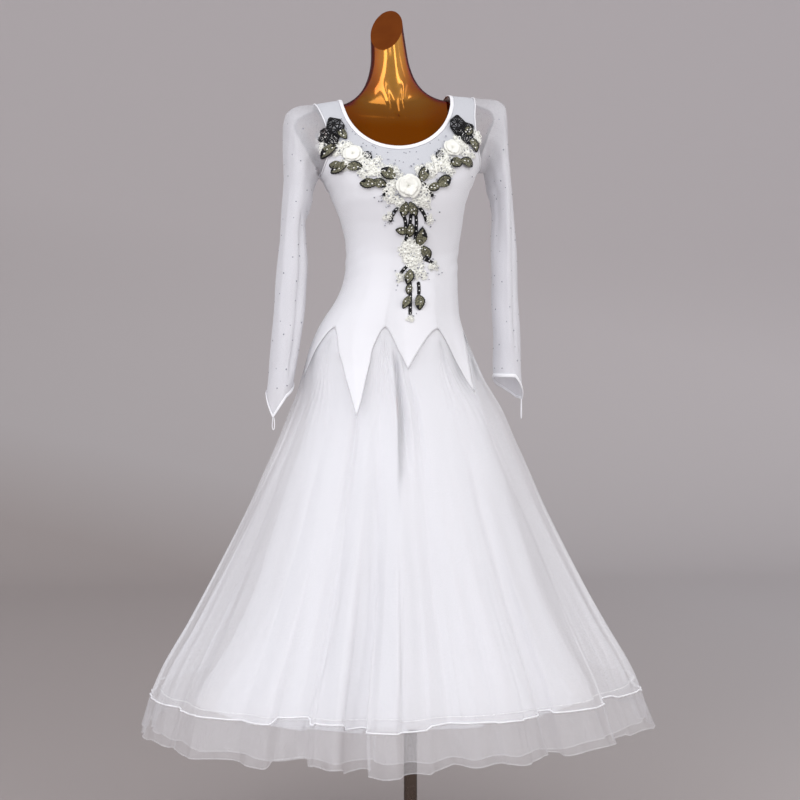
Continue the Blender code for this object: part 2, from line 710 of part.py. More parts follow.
def godet_columns():
    """The petal seam with a place added half way along each step, for the godets' columns."""
    edge = petal_edge()
    lowered = moved_edge(edge, -SEAM_GAP / 2, closed=True)
    lowered.append((lowered[0][0] + 360, lowered[0][1]))
    edge.append((edge[0][0] + 360, edge[0][1]))
    top = []
    for i, (angle, z) in enumerate(lowered[:-1]):
        after = lowered[i + 1]
        top.append((angle, z))
        top.append(((angle + after[0]) / 2, (z + after[1]) / 2))
    top.append(lowered[-1])
    return top


def hem_angles():
    """The angles of the godets' columns at the hem: evenly spaced between the godets' seams."""
    each = len(godet_columns()) // len(GODETS)
    tips = [g.tip for g in GODETS] + [GODETS[0].tip + 360]
    angles = []
    for i in range(len(GODETS)):
        angles += list(np.linspace(tips[i], tips[i + 1], each + 1)[:-1])
    return angles + [tips[-1]]


def build_godets(look):
    top = godet_columns()
    angles = hem_angles()
    each = len(top) // len(GODETS)
    for i in range(len(GODETS)):
        span = slice(i * each, (i + 1) * each + 1)
        low = [(a, float(seam_height(a)) + SEAM_GAP / 2) for a in angles[span]]
        angle, z = between(low, top[span], GODET_ROWS, SKIRT_EASE)
        panel(f"godet_{i + 1}", angle, z, look, halve_columns=True)


def build_hem_braid(look):
    angles = np.array(hem_angles()[:-1])
    seam = seam_height(angles)
    z = np.stack([seam - BRAID_DROP, seam - SEAM_GAP / 2], 1)
    angle = np.stack([angles, angles], 1)
    wall("hem_braid", DRESS.point(angle, z, CLEAR), DRESS.point(angle, z, CLEAR + CLOTH), look, True)


def under_point(angle, z, out):
    """The underskirt lies against the petals at its top and hangs inside the skirt below."""
    away = UNDER_GAP * smooth_step((UNDER_TOP - z) / 0.10) + UNDER_TOP_GAP
    return DRESS.point(angle, z, CLEAR - away - CLOTH + out, UNDER_FOLDS)


def build_underskirt(look, braid_look):
    angles = np.linspace(0, 360, UNDER_COLUMNS + 1)[:-1]
    seam = seam_height(angles) + 0.013
    low = list(zip(angles, seam + SEAM_GAP / 2))
    high = [(a, UNDER_TOP) for a in angles]
    angle, z = between(low, high, UNDER_ROWS, SKIRT_EASE)
    wall("underskirt", under_point(angle, z, 0.0), under_point(angle, z, CLOTH), look, True)
    z = np.stack([seam - BRAID_DROP, seam - SEAM_GAP / 2], 1)
    angle = np.stack([angles, angles], 1)
    wall("underskirt_braid", under_point(angle, z, 0.0), under_point(angle, z, CLOTH), braid_look, True)


def ring_points(ring):
    """Places round one sleeve ring, from the outer side over the front to the inner side and the back."""
    outer = np.array([ring.outer_x, ring.middle_y, ring.outer_z])
    inner = np.array([ring.inner_x, ring.middle_y, ring.inner_z])
    turn = np.linspace(0, 2 * pi, SLEEVE_SIDES + 1)[:-1]
    places = (outer + inner) / 2 + np.cos(turn)[:, None] * (outer - inner) / 2
    places[:, 1] -= ring.half_depth * np.sin(turn)
    return places


def armhole_ring(side):
    front = armhole_edge(side)
    back = armhole_edge(side, at_back=True)
    loop = front + back[-2:0:-1]
    places = np.array(loop)
    return DRESS.point(places[:, 0], places[:, 1], CLEAR + CLOTH / 2 + SLEEVE_LAP)


def build_sleeve(name, side, rings, cuff, cuff_heights, look, binding_look):
    shares = np.arange(SLEEVE_SIDES) / SLEEVE_SIDES
    cuff_z = np.interp(shares, *zip(*cuff_heights))
    cuff_ring = ring_points(cuff)
    edge = cuff_ring.copy()
    edge[:, 2] = cuff_z
    seam = cuff_ring.copy()
    seam[:, 2] = cuff_z + CUFF_BINDING
    body = [ring_points(ring) for ring in rings]
    start = armhole_ring(side)
    away = body[0] - start
    away /= np.linalg.norm(away, axis=1, keepdims=True)
    start = start + away * SLEEVE_START
    last = body[-1] + (seam - body[-1]) * 0.5
    middle = np.array([start, *body, last, seam]).transpose(1, 0, 2)[:, ::-1]
    if side > 0:
        middle = middle[::-1]
    tube(f"sleeve_{name}", middle, look)
    finish = seam.copy()
    finish[:, 2] -= 3 * SEAM_GAP
    band = np.array([edge, finish]).transpose(1, 0, 2)
    if side > 0:
        band = band[::-1]
    tube(f"cuff_binding_{name}", band, binding_look)


def tube(name, middle, look):
    """A closed cloth tube round a grid of points in the middle of its wall."""
    round_it = np.roll(middle, -1, axis=0) - np.roll(middle, 1, axis=0)
    upwards = np.gradient(middle, axis=1)
    normal = np.cross(round_it, upwards)
    normal /= np.linalg.norm(normal, axis=-1, keepdims=True)
    return wall(name, middle - normal * CLOTH / 2, middle + normal * CLOTH / 2, look, True)


def build_loop(name, cuff, cuff_heights, share, length, look):
    """A round elastic loop that hangs from the cuff's point, spread along the cuff's edge."""
    turn = 2 * pi * share
    half_x = (cuff.outer_x - cuff.inner_x) / 2
    point = Vector((cuff.inner_x + half_x * (1 + cos(turn)), cuff.middle_y - cuff.half_depth * sin(turn), 0))
    point.z = float(np.interp(share, *zip(*cuff_heights))) - SEAM_GAP
    along = Vector((half_x * sin(turn), cuff.half_depth * cos(turn), 0)).normalized()
    curve = bpy.data.curves.new(name, "CURVE")
    curve.dimensions = "3D"
    curve.bevel_depth = LOOP_RADIUS
    curve.bevel_resolution = 1
    curve.use_fill_caps = True
    line = curve.splines.new("POLY")
    steps = 12
    line.points.add(steps)
    for i in range(steps + 1):
        swing = pi * i / steps
        across = LOOP_WIDTH / 2 * cos(swing) * (LOOP_FOOT + (1 - LOOP_FOOT) * sin(swing))
        place = point + along * across + Vector((0, 0, -length * sin(swing)))
        line.points[i].co = (*place, 1.0)
    made = bpy.data.objects.new(name, curve)
    bpy.context.scene.collection.objects.link(made)
    curve.materials.append(look)
    return made


# ---- Appliques ----


def bloom_height(across, z):
    """The rise of the raised flowers at a place on the chest."""
    rise = 0.0
    for bloom in BLOOMS:
        far = ((across - bloom.across) ** 2 + (z - bloom.z) ** 2) ** 0.5 / bloom.radius
        if far < 1:
            rise = max(rise, bloom.height * (1 - far * far) ** 0.5)
    return rise


def tree_of(names):
    """The named objects' faces, to find what lies under a place."""
    vertices = []
    faces = []
    for name in names:
        mesh = bpy.data.objects[name].data
        start = len(vertices)
        vertices += [v.co.copy() for v in mesh.vertices]
        faces += [[start + v for v in p.vertices] for p in mesh.polygons]
    return BVHTree.FromPolygons(vertices, faces)


def build_applique(name, stems, look, chest):
    """A closed pad that follows the chest, thin at its edges and raised at its flowers."""
    rows = round(abs(stems[0].z - stems[-1].z) / APPLIQUE_ROW) + 2
    at = np.linspace(0, len(stems) - 1, rows)
    known = range(len(stems))
    spine = np.stack([through(known, [getattr(s, key) for s in stems], at) for key in ("across", "z")], 1)
    reaches = through(known, [s.reach for s in stems], at)
    ahead = np.gradient(spine, axis=0)
    ahead /= np.linalg.norm(ahead, axis=1, keepdims=True)
    side = np.stack([ahead[:, 1], -ahead[:, 0]], 1)
    if side[0, 0] > 0:
        side = -side
    inner = []
    outer = []
    for share in np.linspace(-1, 1, APPLIQUE_COLUMNS + 1):
        low = []
        high = []
        for place, out, wide in zip(spine, side, reaches):
            across, z = place - out * share * wide
            angle = DRESS.angle(across, z)
            cloth = Vector(DRESS.point(angle, z, CLEAR + CLOTH))
            above = Vector(DRESS.point(angle, z, CLEAR + 4 * CLOTH))
            ahead_of_cloth = (above - cloth).normalized()
            under = chest.find_nearest(above)[0]
            thick = APPLIQUE_THICK + bloom_height(across, z)
            low.append(under + ahead_of_cloth * APPLIQUE_LIFT)
            high.append(under + ahead_of_cloth * (APPLIQUE_LIFT + thick))
        inner.append(low[::-1])
        outer.append(high[::-1])
    return wall(name, np.array(inner), np.array(outer), look)


# ---- The dress form ----


def build_torso(look):
    """The limbless form: rings through its sections, closed flat below and cut on a slant at the neck."""
    heights = []
    for band in FORM_BANDS:
        reach = np.linspace(FORM.reach(band.low_z), FORM.reach(band.high_z), band.rows + 1)
        heights += list(FORM.height(reach)[:-1])
    heights.append(FORM_BANDS[-1].high_z)
    angles = np.linspace(0, 360, FORM_COLUMNS + 1)[:-1]
    mesh = bmesh.new()
    rings = []
    for z in heights:
        places = FORM.bare(angles, np.full(FORM_COLUMNS, z), 0.0)
        rings.append([mesh.verts.new(place) for place in places])
    for low, high in zip(rings, rings[1:]):
        for i in range(FORM_COLUMNS):
            j = (i + 1) % FORM_COLUMNS
            mesh.faces.new((low[i], low[j], high[j], high[i]))
    mesh.faces.new(rings[0][::-1])
    mesh.faces.new(rings[-1])
    everything = mesh.verts[:] + mesh.edges[:] + mesh.faces[:]
    cut = bmesh.ops.bisect_plane(
        mesh, geom=everything, plane_co=NECK_CUT_AT, plane_no=NECK_CUT_NORMAL, clear_outer=True
    )
    rim = [part for part in cut["geom_cut"] if isinstance(part, bmesh.types.BMEdge)]
    bmesh.ops.holes_fill(mesh, edges=rim)
    bmesh.ops.recalc_face_normals(mesh, faces=mesh.faces)
    bmesh.ops.triangulate(mesh, faces=mesh.faces)
    data = bpy.data.meshes.new("form_torso")
    mesh.to_mesh(data)
    mesh.free()
    made = bpy.data.objects.new("form_torso", data)
    bpy.context.scene.collection.objects.link(made)
    data.materials.append(look)
    data.shade_smooth()
    data.set_sharp_from_angle(angle=radians(40))
    return made


def turned(name, profile, look):
    """A solid turned about the pole's axis: profile is a closed outline of (radius, height)."""
    vertices = []
    faces = []
    count = len(profile)
    for i in range(ROUND_SIDES):
        turn = 2 * pi * i / ROUND_SIDES
        vertices += [(r * cos(turn), r * sin(turn), z) for r, z in profile]
    for i in range(ROUND_SIDES):
        j = (i + 1) % ROUND_SIDES
        for k in range(count):
            m = (k + 1) % count
            faces.append((i * count + k, j * count + k, j * count + m, i * count + m))
    made = add_object(name, vertices, faces, look)
    mesh = bmesh.new()
    mesh.from_mesh(made.data)
    bmesh.ops.remove_doubles(mesh, verts=mesh.verts, dist=1e-6)
    bmesh.ops.dissolve_degenerate(mesh, edges=mesh.edges, dist=1e-7)
    bmesh.ops.recalc_face_normals(mesh, faces=mesh.faces)
    mesh.to_mesh(made.data)
    mesh.free()
    made.data.shade_smooth()
    made.data.set_sharp_from_angle(angle=radians(35))
    return made


def build_stand(steel):
    soft = 0.003
    turned(
        "base",
        [
            (0.0, 0.0),
            (BASE_RADIUS, 0.0),
            (BASE_RADIUS, BASE_HEIGHT - soft),
            (BASE_RADIUS - soft, BASE_HEIGHT),
            (0.0, BASE_HEIGHT),
        ],
        steel,
    )
    foot = BASE_HEIGHT + SEAM_GAP
    turned(
        "pole",
        [(0.0, foot), (POLE_RADIUS, foot), (POLE_RADIUS, POLE_TOP), (0.0, POLE_TOP)],
        steel,
    )
    bore = POLE_RADIUS + SEAM_GAP
    turned(
        "pole_collar",
        [
            (bore, foot),
            (COLLAR_RADIUS, foot),
            (COLLAR_RADIUS, foot + COLLAR_HEIGHT * 0.4),
            (bore + 0.004, foot + COLLAR_HEIGHT),
            (bore, foot + COLLAR_HEIGHT),
        ],
        steel,
    )
    top = FORM_HIPS[0].z - SEAM_GAP
    turned(
        "socket",
        [
            (bore, top - SOCKET_HEIGHT),
            (bore + 0.005, top - SOCKET_HEIGHT),
            (bore + 0.005, top - 0.006),
            (SOCKET_RADIUS, top - 0.006),
            (SOCKET_RADIUS, top),
            (bore, top),
        ],
        steel,
    )


def main():
    clear_scene()
    stretch_cloth = material("white_stretch_cloth", (0.78, 0.78, 0.82), 0.55)
    mesh_cloth = material("white_mesh", (0.70, 0.71, 0.76), 0.6)
    tulle = material("white_tulle", (0.80, 0.80, 0.84), 0.65)
    braid = material("horsehair_braid", (0.72, 0.72, 0.76), 0.45)
    ivory = material("applique_ivory", (0.80, 0.79, 0.70), 0.5)
    gold = material("gold_lacquer", (0.42, 0.19, 0.02), 0.22, 0.8)
    steel = material("dark_steel", (0.05, 0.045, 0.04), 0.3, 1.0)

    build_stand(steel)
    build_torso(gold)
    build_bodice(stretch_cloth)
    build_yoke(mesh_cloth)
    build_neck_binding(stretch_cloth)
    build_godets(tulle)
    build_hem_braid(braid)
    build_underskirt(tulle, braid)
    build_sleeve("left", -1, SLEEVE_LEFT, CUFF_LEFT, CUFF_LEFT_Z, mesh_cloth, stretch_cloth)
    build_sleeve("right", 1, SLEEVE_RIGHT, CUFF_RIGHT, CUFF_RIGHT_Z, mesh_cloth, stretch_cloth)
    build_loop(
        "finger_loop_left", CUFF_LEFT, CUFF_LEFT_Z, CUFF_LEFT_POINT, LOOP_LEFT_LENGTH, stretch_cloth
    )
    build_loop(
        "finger_loop_right", CUFF_RIGHT, CUFF_RIGHT_Z, CUFF_RIGHT_POINT, LOOP_RIGHT_LENGTH, stretch_cloth
    )
    chest = tree_of(["bodice_front", "yoke_front"])
    build_applique("applique_centre", APPLIQUE_CENTRE, ivory, chest)
    build_applique("applique_left", APPLIQUE_LEFT, ivory, chest)
    build_applique("applique_right", APPLIQUE_RIGHT, ivory, chest)


main()
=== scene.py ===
# %% [markdown]
# # A ballroom dance dress on its dress form
#
# The dress is a fitted white bodice that ends in pointed petals, a full skirt of tulle godets set in between
# the petals, sheer sleeves and a spray of raised flowers on the chest. It hangs on a gold form with no head
# or arms. A rigid model of the whole already exists: it gives every size and place, in metres, with Z up and
# the dress's front facing -Y. Each step below makes one piece of it again in fine detail.

# %% The rigid model
from collections import namedtuple

import bpy
import numpy as np
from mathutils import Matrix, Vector


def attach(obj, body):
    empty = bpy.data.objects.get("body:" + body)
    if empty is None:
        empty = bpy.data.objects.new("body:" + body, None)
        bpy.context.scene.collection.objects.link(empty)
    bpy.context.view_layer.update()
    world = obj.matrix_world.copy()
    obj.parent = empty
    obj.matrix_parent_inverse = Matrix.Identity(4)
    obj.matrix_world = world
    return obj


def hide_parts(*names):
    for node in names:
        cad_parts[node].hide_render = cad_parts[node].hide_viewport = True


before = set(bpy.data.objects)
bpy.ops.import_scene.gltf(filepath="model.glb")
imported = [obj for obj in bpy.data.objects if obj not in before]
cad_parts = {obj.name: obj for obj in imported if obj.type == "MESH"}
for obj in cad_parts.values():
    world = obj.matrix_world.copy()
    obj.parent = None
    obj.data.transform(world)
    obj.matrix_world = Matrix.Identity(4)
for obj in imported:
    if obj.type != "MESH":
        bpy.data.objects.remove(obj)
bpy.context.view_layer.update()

# %% [markdown]
# ## The camera
#
# A long lens from over three metres away keeps the skirt's proportions true, where a short one would swell
# the hem. The camera stands at skirt height, ten degrees round towards the wearer's right. It is level,
# because a tilt would draw upright lines together.

# %% Camera
LENS = 77.0
SENSOR = 36.0
CAMERA_TURN = np.radians(-10.0)
CAMERA_DISTANCE = 3.2
LOOK_AT = Vector((-0.0193, 0.0034, 0.861))

bpy.ops.object.select_all(action="DESELECT")
towards_camera = Vector((np.sin(CAMERA_TURN), -np.cos(CAMERA_TURN), 0.0))
bpy.ops.object.camera_add(
    location=LOOK_AT + towards_camera * CAMERA_DISTANCE, rotation=(np.pi / 2, 0.0, CAMERA_TURN)
)
camera = bpy.context.active_object
camera.data.lens = LENS
camera.data.sensor_width = SENSOR
bpy.context.scene.camera = camera
print("camera", CAMERA_DISTANCE, "m away, level at", round(LOOK_AT.z, 3), "m")


# %% [markdown]
# ## Writing finishes as sums
#
# A finish is a small network of nodes. Adding and joining them by hand takes many lines, so one class holds
# a number on its way through the network and lets ordinary sums add the Math nodes, and one method adds any
# other node. A pattern is then written as it would be on paper.


# %% Sums on sockets
class Amount:
    """A number on its way through a network of nodes."""

    def __init__(self, network, socket):
        self.network = network
        self.socket = socket

    def maths(self, operation, first, second=0.0):
        return self.network.node("ShaderNodeMath", {"operation": operation}, {0: first, 1: second})

    def __add__(self, other):
        return self.maths("ADD", self, other)

    __radd__ = __add__

    def __mul__(self, other):
        return self.maths("MULTIPLY", self, other)

    __rmul__ = __mul__

    def __sub__(self, other):
        return self.maths("SUBTRACT", self, other)

    def __rsub__(self, other):
        return self.maths("SUBTRACT", other, self)

    def __truediv__(self, other):
        return self.maths("DIVIDE", self, other)

    def __pow__(self, other):
        return self.maths("POWER", self, other)

    def above(self, level):
        return self.maths("GREATER_THAN", self, level)

    def size(self):
        return self.maths("ABSOLUTE", self)

    def wave(self):
        return self.maths("SINE", self)

    def limited(self):
        """Kept from 0 to 1."""
        return self.network.node("ShaderNodeClamp", None, {0: self})


class Network:
    """The nodes of a finish or of the light all round, added one by one."""

    def __init__(self, tree):
        self.tree = tree

    def node(self, kind, settings=None, sockets=None, output=0):
        made = self.tree.nodes.new(kind)
        for key, value in (settings or {}).items():
            if key == "stops":
                ramp = made.color_ramp
                for i, (place, colour) in enumerate(value):
                    stop = ramp.elements[i] if i < 2 else ramp.elements.new(place)
                    stop.position = place
                    stop.color = (*colour, 1.0)
            else:
                setattr(made, key, value)
        for key, value in (sockets or {}).items():
            self.put(made.inputs[key], value)
        return Amount(self, made.outputs[output])

    def put(self, socket, value):
        if isinstance(value, Amount):
            self.tree.links.new(value.socket, socket)
        else:
            socket.default_value = value

    def along(self, place, axis):
        """One of a place's three numbers: 0, 1 or 2."""
        return self.node("ShaderNodeSeparateXYZ", None, {0: place}, axis)

    def tones(self, share, stops):
        """A colour from a ramp of (place, colour) stops; the first two are its ends."""
        return self.node("ShaderNodeValToRGB", {"stops": stops}, {"Fac": share}, "Color")


class Finish(Network):
    """A material with the Principled shader."""

    def __init__(self, name, colour, roughness, metallic=0.0, sheen=0.0, coat=0.0):
        self.material = bpy.data.materials.new(name)
        self.material.use_nodes = True
        super().__init__(self.material.node_tree)
        self.shader = self.tree.nodes["Principled BSDF"]
        fixed = {
            "Base Color": (*colour, 1.0),
            "Roughness": roughness,
            "Metallic": metallic,
            "Sheen Weight": sheen,
            "Coat Weight": coat,
        }
        for key, value in fixed.items():
            self.shader.inputs[key].default_value = value

    def feed(self, key, value):
        self.put(self.shader.inputs[key], value)

    def place(self):
        """Where a point is, in metres."""
        return self.node("ShaderNodeTexCoord", output="Object")

    def cut(self):
        """Where a point is on the flat cut of its cloth, in metres."""
        return self.node("ShaderNodeTexCoord", output="UV")

    def cloudy(self, place, size, detail=2.0):
        """Soft patches of about this size, from 0 to 1."""
        sockets = {"Vector": place, "Scale": 1.0 / size, "Detail": detail}
        return self.node("ShaderNodeTexNoise", None, sockets, "Fac")

    def blend(self, share, first, second):
        """A colour between two colours."""
        sockets = {0: share, 6: (*first, 1.0), 7: (*second, 1.0)}
        return self.node("ShaderNodeMix", {"data_type": "RGBA"}, sockets, 2)

    def relief(self, height, depth):
        """Bumps this many metres deep."""
        sockets = {"Height": height, "Distance": depth, "Strength": 1.0}
        self.feed("Normal", self.node("ShaderNodeBump", None, sockets, "Normal"))


# %% [markdown]
# ## Light
#
# Two tall soft lights draw the two bright streaks down the gold neck, and a long one overhead models the
# folds. A low one lifts the sleeve and the skirt at -X, and the last lights the wall at +X. Round all of
# them is a plain light that comes more from the sides than from the front, so the dress's edges stay about as
# light as its middle. The lights are hidden from the camera, so none shows in a view from behind.

# %% Lights
COOL = (0.97, 0.975, 1.0)
NEUTRAL = (1.0, 1.0, 1.0)
WARM = (1.0, 0.975, 0.95)
WARMER = (1.0, 0.96, 0.90)
AT_DRESS = (0.0, 0.0, 0.9)
AT_SHOULDERS = (0.0, 0.0, 1.5)
AT_WALL = (1.9, 1.3, 0.7)
SoftLight = namedtuple("SoftLight", "name turn distance height width tall power colour aim")

LIGHTS = [
    SoftLight("light_left", -38, 2.6, 1.80, 0.85, 2.1, 22, COOL, AT_DRESS),
    SoftLight("light_right", 25, 2.6, 1.80, 0.42, 2.1, 11, WARM, AT_DRESS),
    SoftLight("light_above", -7, 1.8, 3.00, 0.75, 2.2, 11, NEUTRAL, AT_DRESS),
    SoftLight("light_low", -70, 2.6, 0.60, 1.50, 0.7, 7, COOL, AT_SHOULDERS),
    SoftLight("light_wall", 62, 2.3, 1.30, 1.20, 1.8, 9, WARMER, AT_WALL),
]


def add_light(light):
    """A flat light this many degrees round the dress, turned to its aim; 0 is straight in front."""
    turn = np.radians(light.turn)
    place = Vector((np.sin(turn) * light.distance, -np.cos(turn) * light.distance, light.height))
    facing = (Vector(light.aim) - place).to_track_quat("-Z", "Y").to_euler()
    bpy.ops.object.light_add(type="AREA", location=place, rotation=facing)
    lamp = bpy.context.active_object
    lamp.name = light.name
    lamp.data.shape = "RECTANGLE"
    lamp.data.size = light.width
    lamp.data.size_y = light.tall
    lamp.data.energy = light.power
    lamp.data.color = light.colour
    lamp.visible_camera = False


for light in LIGHTS:
    add_light(light)
print(len(LIGHTS), "soft lights,", sum(light.power for light in LIGHTS), "W in all")

# %% Light all round
SIDE_LIGHT = 1.48  # how bright the room is to either side
END_LIGHT = 1.18  # and in front of the dress and behind it
END_SPREAD = 1.5  # above 1, the light in front and behind is held to a narrower part of the room

world = bpy.data.worlds.new("soft_room")
world.use_nodes = True
room_light = Network(world.node_tree)
direction = room_light.node("ShaderNodeTexCoord", output="Generated")
room_tones = [(0.0, (0.50, 0.48, 0.48)), (0.85, (0.42, 0.42, 0.44)), (0.25, (1.0, 1.0, 1.03))]
background = world.node_tree.nodes["Background"]
room_light.put(background.inputs["Color"], room_light.tones(room_light.along(direction, 2), room_tones))
endwise = room_light.along(direction, 1).size() ** END_SPREAD
room_light.put(background.inputs["Strength"], SIDE_LIGHT + (END_LIGHT - SIDE_LIGHT) * endwise)
bpy.context.scene.world = world
bpy.context.scene.view_settings.view_transform = "Standard"
print("room light from", END_LIGHT, "in front to", SIDE_LIGHT, "at the sides")

# %% [markdown]
# ## The room
#
# The room is one sheet of grey paper from a wide roll. It lies on the floor and curves up the wall, so no
# corner shows behind the dress. A flat grid is enough for it, bent up at the back, far enough away to leave
# room to walk round behind the dress. Its colour has painted shade in it: darker towards the floor and -X.

# %% Floor and wall
ROOM_HALF = 12.0
ROOM_FRONT = -8.0
CURVE_START = 4.8  # where the paper begins to rise
CURVE_RADIUS = 1.6
ROOM_HEIGHT = 7.0
SHADE_HEIGHT = 4.0  # the paper's painted shade spreads over this height
SHADE_LEAN = 0.06  # and shifts by this share of it for each metre towards +X

bpy.ops.object.select_all(action="DESELECT")
bpy.ops.mesh.primitive_grid_add(x_subdivisions=2, y_subdivisions=120, size=1.0)
paper = bpy.context.active_object
paper.name = "paper_backdrop"
quarter = CURVE_RADIUS * np.pi / 2
flat_length = CURVE_START - ROOM_FRONT + quarter + ROOM_HEIGHT
for vertex in paper.data.vertices:
    run = (vertex.co.y + 0.5) * flat_length + ROOM_FRONT - CURVE_START
    bend = np.clip(run / CURVE_RADIUS, 0.0, np.pi / 2)
    y = CURVE_START + min(run, 0.0) + CURVE_RADIUS * np.sin(bend)
    z = CURVE_RADIUS * (1 - np.cos(bend)) + max(run - quarter, 0.0)
    vertex.co = (vertex.co.x * 2 * ROOM_HALF, y, z)
paper.data.shade_smooth()

grey_paper = Finish("grey_paper", (0.5, 0.5, 0.5), 0.9)
# Painted shade: the paper's colour is darker towards the floor and towards -X.
paper_shade_share = grey_paper.along(grey_paper.place(), 2) / SHADE_HEIGHT
paper_shade_share = paper_shade_share + grey_paper.along(grey_paper.place(), 0) * SHADE_LEAN
paper_painted_shade_tones = [
    (0.0, (0.37, 0.33, 0.32)),
    (1.0, (0.54, 0.505, 0.515)),
    (0.12, (0.46, 0.43, 0.43)),
    (0.45, (0.54, 0.505, 0.51)),
]
grey_paper.feed("Base Color", grey_paper.tones(paper_shade_share, paper_painted_shade_tones))
paper.data.materials.append(grey_paper.material)
print("paper", 2 * ROOM_HALF, "m wide, its wall at", round(CURVE_START + CURVE_RADIUS, 2), "m")

# %% [markdown]
# ## Finishes for the cloth
#
# The bodice is a stretch crepe: matt, opaque and finely ribbed along the cloth. The sleeves and yoke are a
# power mesh, which lets a little of what is behind it show. The skirt is tulle, a fine net of hexagons, so it
# is partly see-through and what shows at its edges is two layers. Its inner petticoat is a plain lining and
# the outer one a denser net. The hem is horsehair braid, a crossed weave of clear nylon, and the bindings are
# satin. Each pattern is in metres on the cloth's own cut, so it keeps its true scale and follows every fold.


# %% Knits, nets and weaves
THREAD_FADE = 2.2  # how fast a net's thread thins towards the middle of its cell


def ribbed(finish, pitch_across, pitch_along):
    """The height of a fine knit: ribs along the cloth, broken into stitches."""
    cut = finish.cut()
    across = (finish.along(cut, 0) * (2 * np.pi / pitch_across)).wave()
    along = (finish.along(cut, 1) * (2 * np.pi / pitch_along)).wave()
    return across * 0.7 + along * 0.3


def crossed(finish, pitch):
    """Threads that cross on the bias, from 0 in the holes to 1 on the threads."""
    cut = finish.cut()
    across = finish.along(cut, 0) * (2 * np.pi / pitch)
    along = finish.along(cut, 1) * (2 * np.pi / pitch)
    return ((across + along).wave().size() ** 6 + (across - along).wave().size() ** 6) * 0.8


def net(finish, cell):
    """A fine net: 1 on the threads between cells of this size, 0 inside them."""
    sockets = {"Vector": finish.cut(), "Scale": 1.0 / cell}
    settings = {"feature": "DISTANCE_TO_EDGE", "voronoi_dimensions": "2D"}
    return 1 - finish.node("ShaderNodeTexVoronoi", settings, sockets, "Distance") * THREAD_FADE


# %% Cloth
HEAD_FROM = 0.325  # metres up a sleeve's cut, where its head begins, which is stretched thinner
HEAD_RATE = 16.0  # it is at its thinnest a sixteenth of a metre further up
EDGE_FOLD = 0.0022  # the braid's lowest threads lie closer together
MESH_CELL = 0.0014
TULLE_CELL = 0.0018
UNDER_CELL = 0.0020
PETTICOAT_CELL = 0.0016

crepe = Finish("stretch_crepe", (0.75, 0.75, 0.79), 0.62, sheen=0.6)
crepe.relief(ribbed(crepe, 0.0011, 0.0016) + crepe.cloudy(crepe.cut(), 0.05) * 0.6, 0.00012)
crepe_tone = crepe.cloudy(crepe.place(), 0.16)
crepe.feed("Base Color", crepe.blend(crepe_tone, (0.72, 0.72, 0.76), (0.77, 0.77, 0.80)))

power_mesh = Finish("power_mesh", (0.72, 0.72, 0.76), 0.58, sheen=0.2)
power_mesh_threads = net(power_mesh, MESH_CELL)
power_mesh.relief(power_mesh_threads, 0.00015)
power_mesh_head = ((power_mesh.along(power_mesh.cut(), 1) - HEAD_FROM) * HEAD_RATE).limited()
power_mesh.feed("Alpha", 0.62 + power_mesh_threads * 0.16 - power_mesh_head * 0.30)

yoke_mesh = Finish("yoke_mesh", (0.72, 0.72, 0.76), 0.55, sheen=0.2)
yoke_mesh_threads = net(yoke_mesh, MESH_CELL)
yoke_mesh.relief(yoke_mesh_threads, 0.00015)
yoke_mesh.feed("Base Color", yoke_mesh.blend(yoke_mesh_threads, (0.45, 0.46, 0.50), (0.55, 0.56, 0.59)))

tulle = Finish("skirt_tulle", (0.91, 0.91, 0.94), 0.7, sheen=0.3)
tulle_threads = net(tulle, TULLE_CELL)
tulle.relief(tulle_threads, 0.00012)
tulle.feed("Alpha", 0.20 + tulle_threads * 0.16)

lining = Finish("skirt_lining", (0.86, 0.86, 0.89), 0.6, sheen=0.2)
lining.relief(ribbed(lining, 0.0012, 0.0012), 0.0001)
lining_tone = lining.cloudy(lining.place(), 0.12)
lining.feed("Base Color", lining.blend(lining_tone, (0.88, 0.88, 0.92), (0.92, 0.92, 0.94)))

horsehair = Finish("horsehair_braid", (0.86, 0.85, 0.88), 0.42, coat=0.15)
horsehair_threads = crossed(horsehair, 0.0022)
horsehair.relief(horsehair_threads, 0.0002)
horsehair_edge = 1 - horsehair.along(horsehair.cut(), 1).above(EDGE_FOLD)
horsehair.feed("Alpha", 0.17 + horsehair_threads * 0.20 + horsehair_edge * 0.14)

under_tulle = Finish("under_tulle", (0.88, 0.88, 0.91), 0.7, sheen=0.3)
under_threads = net(under_tulle, UNDER_CELL)
under_tulle.relief(under_threads, 0.00012)
under_tulle.feed("Alpha", 0.17 + under_threads * 0.14)

petticoat_net = Finish("petticoat_net", (0.91, 0.91, 0.94), 0.65, sheen=0.2)
petticoat_threads = net(petticoat_net, PETTICOAT_CELL)
petticoat_net.relief(petticoat_threads, 0.00012)
petticoat_net.feed("Alpha", 0.34 + petticoat_threads * 0.22)

satin = Finish("satin_binding", (0.86, 0.86, 0.89), 0.42, sheen=0.1)
satin.relief(ribbed(satin, 0.0009, 0.0007), 0.00008)
satin_tone = satin.cloudy(satin.place(), 0.02)
satin.feed("Base Color", satin.blend(satin_tone, (0.84, 0.84, 0.88), (0.88, 0.88, 0.90)))
cloths = (crepe, power_mesh, yoke_mesh, tulle, lining, horsehair, under_tulle, petticoat_net, satin)
print("cloth finishes:", ", ".join(finish.material.name for finish in cloths))

# %% [markdown]
# ## The body's shape
#
# Everything hangs on one smooth surface. It is given by level ovals, from the hem to the neck, and the
# skirt's long flutes are bumps over the angle that deepen towards the hem. A place on it is an angle round
# the body, with 0 at the front and 90 on the +X side, and a height.

# %% Ovals
CLOTH = 0.0015
CLEAR = 0.003  # from the body to the cloth
WAIST_Z = 1.123
HEM_Z = 0.266
Section = namedtuple("Section", "z centre_x half side_y front back roundness")

